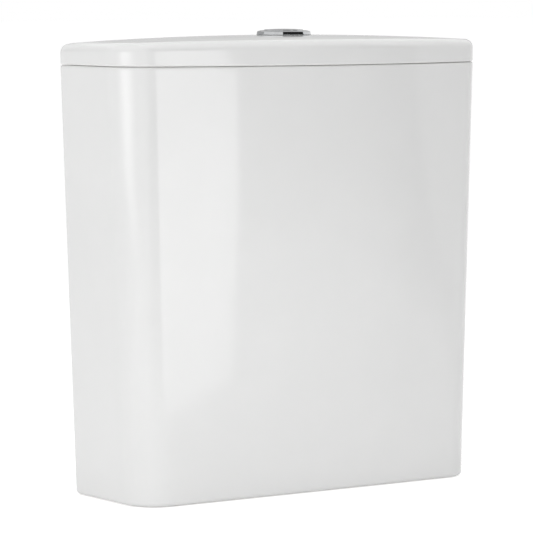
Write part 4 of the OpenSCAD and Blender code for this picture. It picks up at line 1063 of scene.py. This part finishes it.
def head_cap():
    """The cap: a plug in the head, a scalloped rim, a middle post and the two ears."""
    plug, plug_low, post, post_top = 12.8, HEAD_TOP - 3, 3.0, 279.9
    body = spindle([(0, plug_low, 0), (plug, plug_low, 0.3), (plug, HEAD_TOP, 0.1),
                    (HEAD_R, HEAD_TOP, 0.3), (HEAD_R, HEAD_CAP_TOP, 1.0), (post, HEAD_CAP_TOP, 0.6),
                    (post, post_top, 1.0), (0, post_top, 0)], FILL_AXIS, 168, scalloped, 0.6)
    ears = [ear(FILL[1] + side * 6) for side in (-1, 1)]
    piece("head_cap", "fill_valve_cap", WHITE, [body, *ears])


def link_wire():
    """The link wire: a round bar with a disc at its foot and two near its top."""
    wire, disc, thick, low, top = 1.6, 3.6, 2.0, FLOAT_TOP - 12, 284.5
    line = [(0, low, 0), (disc, low, 0.4), (disc, low + thick, 0.4), (wire, low + thick, 0.1)]
    for under in (272.5, 281.5):
        line += [(wire, under, 0.1), (disc, under, 0.4), (disc, under + thick, 0.4),
                 (wire, under + thick, 0.1)]
    line += [(wire, top, 0.5), (0, top, 0)]
    piece("link_wire", "float_link_rod", STEEL, [spindle(line, LINK_AXIS, 32)])


fill_float()
inlet_riser()
piece("riser_washer", "inlet_washer", RUBBER,
      [ring(band(INLET_BORE, INLET_FLANGE_R, FLOOR_Z, WASHER_TOP, (0.4, 0.9, 0.9, 0.4)),
            FILL_AXIS, 72)])
piece("riser_nut", "inlet_back_nut", WHITE,
      [ring(band(INLET_BORE, INLET_FLANGE_R, FLOOR_LOW - 9, FLOOR_LOW, (0.6, 1.0, 0.6, 0.4)),
            FILL_AXIS, 144, hexagon(12), 1.0)])
valve_head()
valve_diaphragm()
head_cap()
link_wire()
piece("link_clip", "float_clip", WHITE,
      [ring(band(1.7, 4.5, FLOAT_TOP, FLOAT_TOP + 4, (0.2, 0.5, 0.6, 0.2)), LINK_AXIS, 96,
            hexagon(2.5), 0.6)])
piece("ear_pin", "float_lever_pin", STEEL,
      [spindle(bar(PIN_R, -8, 8, 0.4, 0.4), FLOAT_PIN, 32, axis="y")])


# Nodes that keep their own shape take a finish

for node, finish in (("float_lever", WHITE), ("inlet_strainer", BLUE)):
    kept = frame["nodes"][node]
    kept.data.materials.clear()
    kept.data.materials.append(finish)


# Floor, light and camera

FRONT_GLOW = 1.55
CORNER_GLOW = [2.5, 2.5, 2.5, 1.4, 0.4, 0.2, 0.9, 0.9]
FRONT_WALL_GLOW = [1.0, 0.65, 0.45, 0.4, 0.03, 0.03]
REAR_GLOW = 0.52
TOP_GLOW = [0.38, 0.95]


def seen_white(tree):
    """1 for rays from the camera, from mirrors and through glass, and 0 for the rest."""
    path = tree.nodes.new("ShaderNodeLightPath")
    total = path.outputs["Is Camera Ray"]
    for output in ("Is Glossy Ray", "Is Transmission Ray"):
        either = tree.nodes.new("ShaderNodeMath")
        either.operation = "MAXIMUM"
        tree.links.new(total, either.inputs[0])
        tree.links.new(path.outputs[output], either.inputs[1])
        total = either.outputs[0]
    return total


def floor():
    """A wide pale floor just under the foot; it adds a little white to what the camera sees,
    so that the lit floor is white and only the shadow shows on it."""
    reach, z = 30000.0, -0.4
    corners = np.array([[[-reach, -reach, z], [reach, -reach, z]],
                        [[-reach, reach, z], [reach, reach, z]]])
    made = shape("studio_floor", [patch(corners, around=False)])
    material = bpy.data.materials.new("pale_floor")
    material.use_nodes = True
    tree = material.node_tree
    shader = tree.nodes["Principled BSDF"]
    shader.inputs["Base Color"].default_value = (0.8, 0.8, 0.8, 1)
    shader.inputs["Roughness"].default_value = 0.9
    shader.inputs["Specular IOR Level"].default_value = 0.1
    shader.inputs["Emission Color"].default_value = (1, 1, 1, 1)
    added = spread(tree, seen_white(tree), 0.045, 0.56, 0, 1)
    tree.links.new(added, shader.inputs["Emission Strength"])
    made.data.materials.append(material)


def softbox(name, radiance, size, place, facing, along):
    """A soft panel of light: the side that shines looks along facing, and its length runs
    along a second direction. Its power is its radiance times pi times its area."""
    light = bpy.data.lights.new(name, "AREA")
    light.shape = "RECTANGLE"
    light.size, light.size_y = size
    light.energy = radiance * math.pi * size[0] * size[1]
    back = -Vector(facing).normalized()
    up = Vector(along).normalized()
    across = up.cross(back)
    turn = Matrix((across, up, back)).transposed()
    lamp = bpy.data.objects.new(name, light)
    lamp.matrix_world = Matrix.Translation(place) @ turn.to_4x4()
    lamp.visible_camera = False
    lamp.visible_glossy = False
    bpy.context.scene.collection.objects.link(lamp)


def ruled(first, last, across=33, steps=12):
    """A surface of straight lines between two edges given by a few points each, with the
    place of its rows along the edges and of its columns across."""
    knots = np.arange(len(first))
    rows = np.linspace(0, len(first) - 1, steps * (len(first) - 1) + 1)
    edges = [np.stack([np.interp(rows, knots, column) for column in np.array(edge, float).T], axis=-1)
             for edge in (first, last)]
    share = np.linspace(0, 1, across)
    return mix(edges[0][:, None], edges[1][:, None], share[None, :, None]), rows, share


def panel(name, points, glow):
    """A studio panel outside the picture, which only the glaze and the chrome mirror: a grid
    of points, and how bright each of them is."""
    made = shape(name, [patch(points, around=False)])
    bright = made.data.attributes.new("glow", "FLOAT", "POINT")
    values = np.broadcast_to(glow, points.shape[:2]).astype(np.float32)
    bright.data.foreach_set("value", values.ravel())
    material = bpy.data.materials.new(name)
    material.use_nodes = True
    tree = material.node_tree
    shader = tree.nodes["Principled BSDF"]
    shader.inputs["Base Color"].default_value = (0, 0, 0, 1)
    shader.inputs["Specular IOR Level"].default_value = 0
    shader.inputs["Emission Color"].default_value = (1, 1, 1, 1)
    read = tree.nodes.new("ShaderNodeAttribute")
    read.attribute_name = "glow"
    tree.links.new(read.outputs["Fac"], shader.inputs["Emission Strength"])
    made.data.materials.append(material)
    made.visible_camera = False
    made.visible_diffuse = False
    made.visible_shadow = False


def faded(share, edge):
    """1 in the middle of a width, falling smoothly to 0 over a part of it at both ends."""
    return eased(np.minimum(share, 1 - share) / edge)


def front_panel():
    """The panel that the front mirrors as a bright field: from the floor upwards, nearer the
    tank on its right."""
    points, _, share = ruled([(-149, -767, 1), (-333, -767, 400)],
                             [(109, -420, 1), (-68, -420, 400)])
    panel("front_panel", points, 1 + FRONT_GLOW * faded(share, 0.03)[None])


def corner_panel():
    """The panel that the left upright corner mirrors as a soft strip: upright to the left,
    and lower down sweeping along the floor towards the tank's front corner."""
    first = [(-1219, 334, 430), (-1219, 334, 273), (-1216, 336, 216), (-1239, 238, 149),
             (-1264, 12, 82), (-1177, -438, 18), (-779, -518, 2), (-488, -290, 2)]
    last = [(-1059, -625, 430), (-1059, -625, 278), (-1084, -581, 222), (-1098, -568, 154),
            (-999, -715, 90), (-853, -874, 26), (-676, -646, 2), (-439, -351, 2)]
    points, rows, share = ruled(first, last)
    along = np.interp(rows, np.arange(len(first)), CORNER_GLOW)
    panel("corner_panel", points, 1 + along[:, None] * faded(share, 0.5)[None])


def front_wall():
    """The dark end of the studio in front of the tank: an arc about its middle, white at the
    floor, grey up to the lid's height and nearly black above."""
    radius = 1000
    z = np.array([1.0, 60, 150, 350, 420, 1500])
    a = np.radians(np.linspace(-38, 60, 60))
    x, y = np.broadcast_arrays(radius * np.sin(a), -radius * np.cos(a) + 0 * z[:, None])
    panel("front_wall", stacked(x, y, z), np.array(FRONT_WALL_GLOW)[:, None])


def rear_panel():
    """The pale end of the studio behind the tank."""
    left, right, y, low, high = -3000, 3600, 2600, 430, 2200
    points = ruled([(left, y, low), (left, y, high)], [(right, y, low), (right, y, high)])[0]
    panel("rear_panel", points, REAR_GLOW)


def top_panel():
    """The studio's ceiling: grey over the tank and paler outwards."""
    half, front, back, z = 1500, -950, 1500, 1250
    points = ruled([(-half, front, z), (-half, back, z)], [(half, front, z), (half, back, z)])[0]
    away = np.linalg.norm(points[..., :2], axis=-1)
    panel("top_panel", points, np.interp(away, [450, 1500], TOP_GLOW))


def world():
    """White where it is seen, and a dimmer even light on everything else."""
    made = bpy.data.worlds.new("studio")
    bpy.context.scene.world = made
    made.use_nodes = True
    tree = made.node_tree
    back = tree.nodes["Background"]
    back.inputs["Color"].default_value = (1, 1, 1, 1)
    tree.links.new(spread(tree, seen_white(tree), 0.55, 1.0, 0, 1), back.inputs["Strength"])


def camera():
    """The photograph's view: 34.8 degrees to the left of the front and 4.5 degrees above, in
    metres, with the lens and its shift in pixels of the frame."""
    frame_px, focal_px, shift_px = 533.0, 3367.8, (-21.55, -16.0)
    place, aim = Vector((-1.6119, -2.3186, 0.4240)), Vector((0, 0, 0.2))
    lens = bpy.data.cameras.new("photo_view")
    lens.sensor_width = 36
    lens.lens = focal_px / frame_px * lens.sensor_width
    lens.shift_x, lens.shift_y = (shift / frame_px for shift in shift_px)
    lens.clip_end = 200
    seen = bpy.data.objects.new("photo_view", lens)
    seen.location = place
    seen.rotation_euler = (aim - place).to_track_quat("-Z", "Y").to_euler()
    bpy.context.scene.collection.objects.link(seen)
    bpy.context.scene.camera = seen


floor()
world()
softbox("front_softbox", 2.6, (0.5, 0.16), (-0.12, -0.65, 0.14), (0, 1, 0), (0, 0, 1))
softbox("left_softbox", 2.6, (0.29, 1.4), (-1.2, -0.1, 0.35), (1, 0, 0), (0, 0.86, 0.51))
softbox("top_softbox", 3.2, (0.8, 0.8), (0, 0, 1.5), (0, 0, -1), (0, 1, 0))
front_panel()
corner_panel()
front_wall()
rear_panel()
top_panel()
camera()
bpy.context.scene.view_settings.view_transform = "Standard"
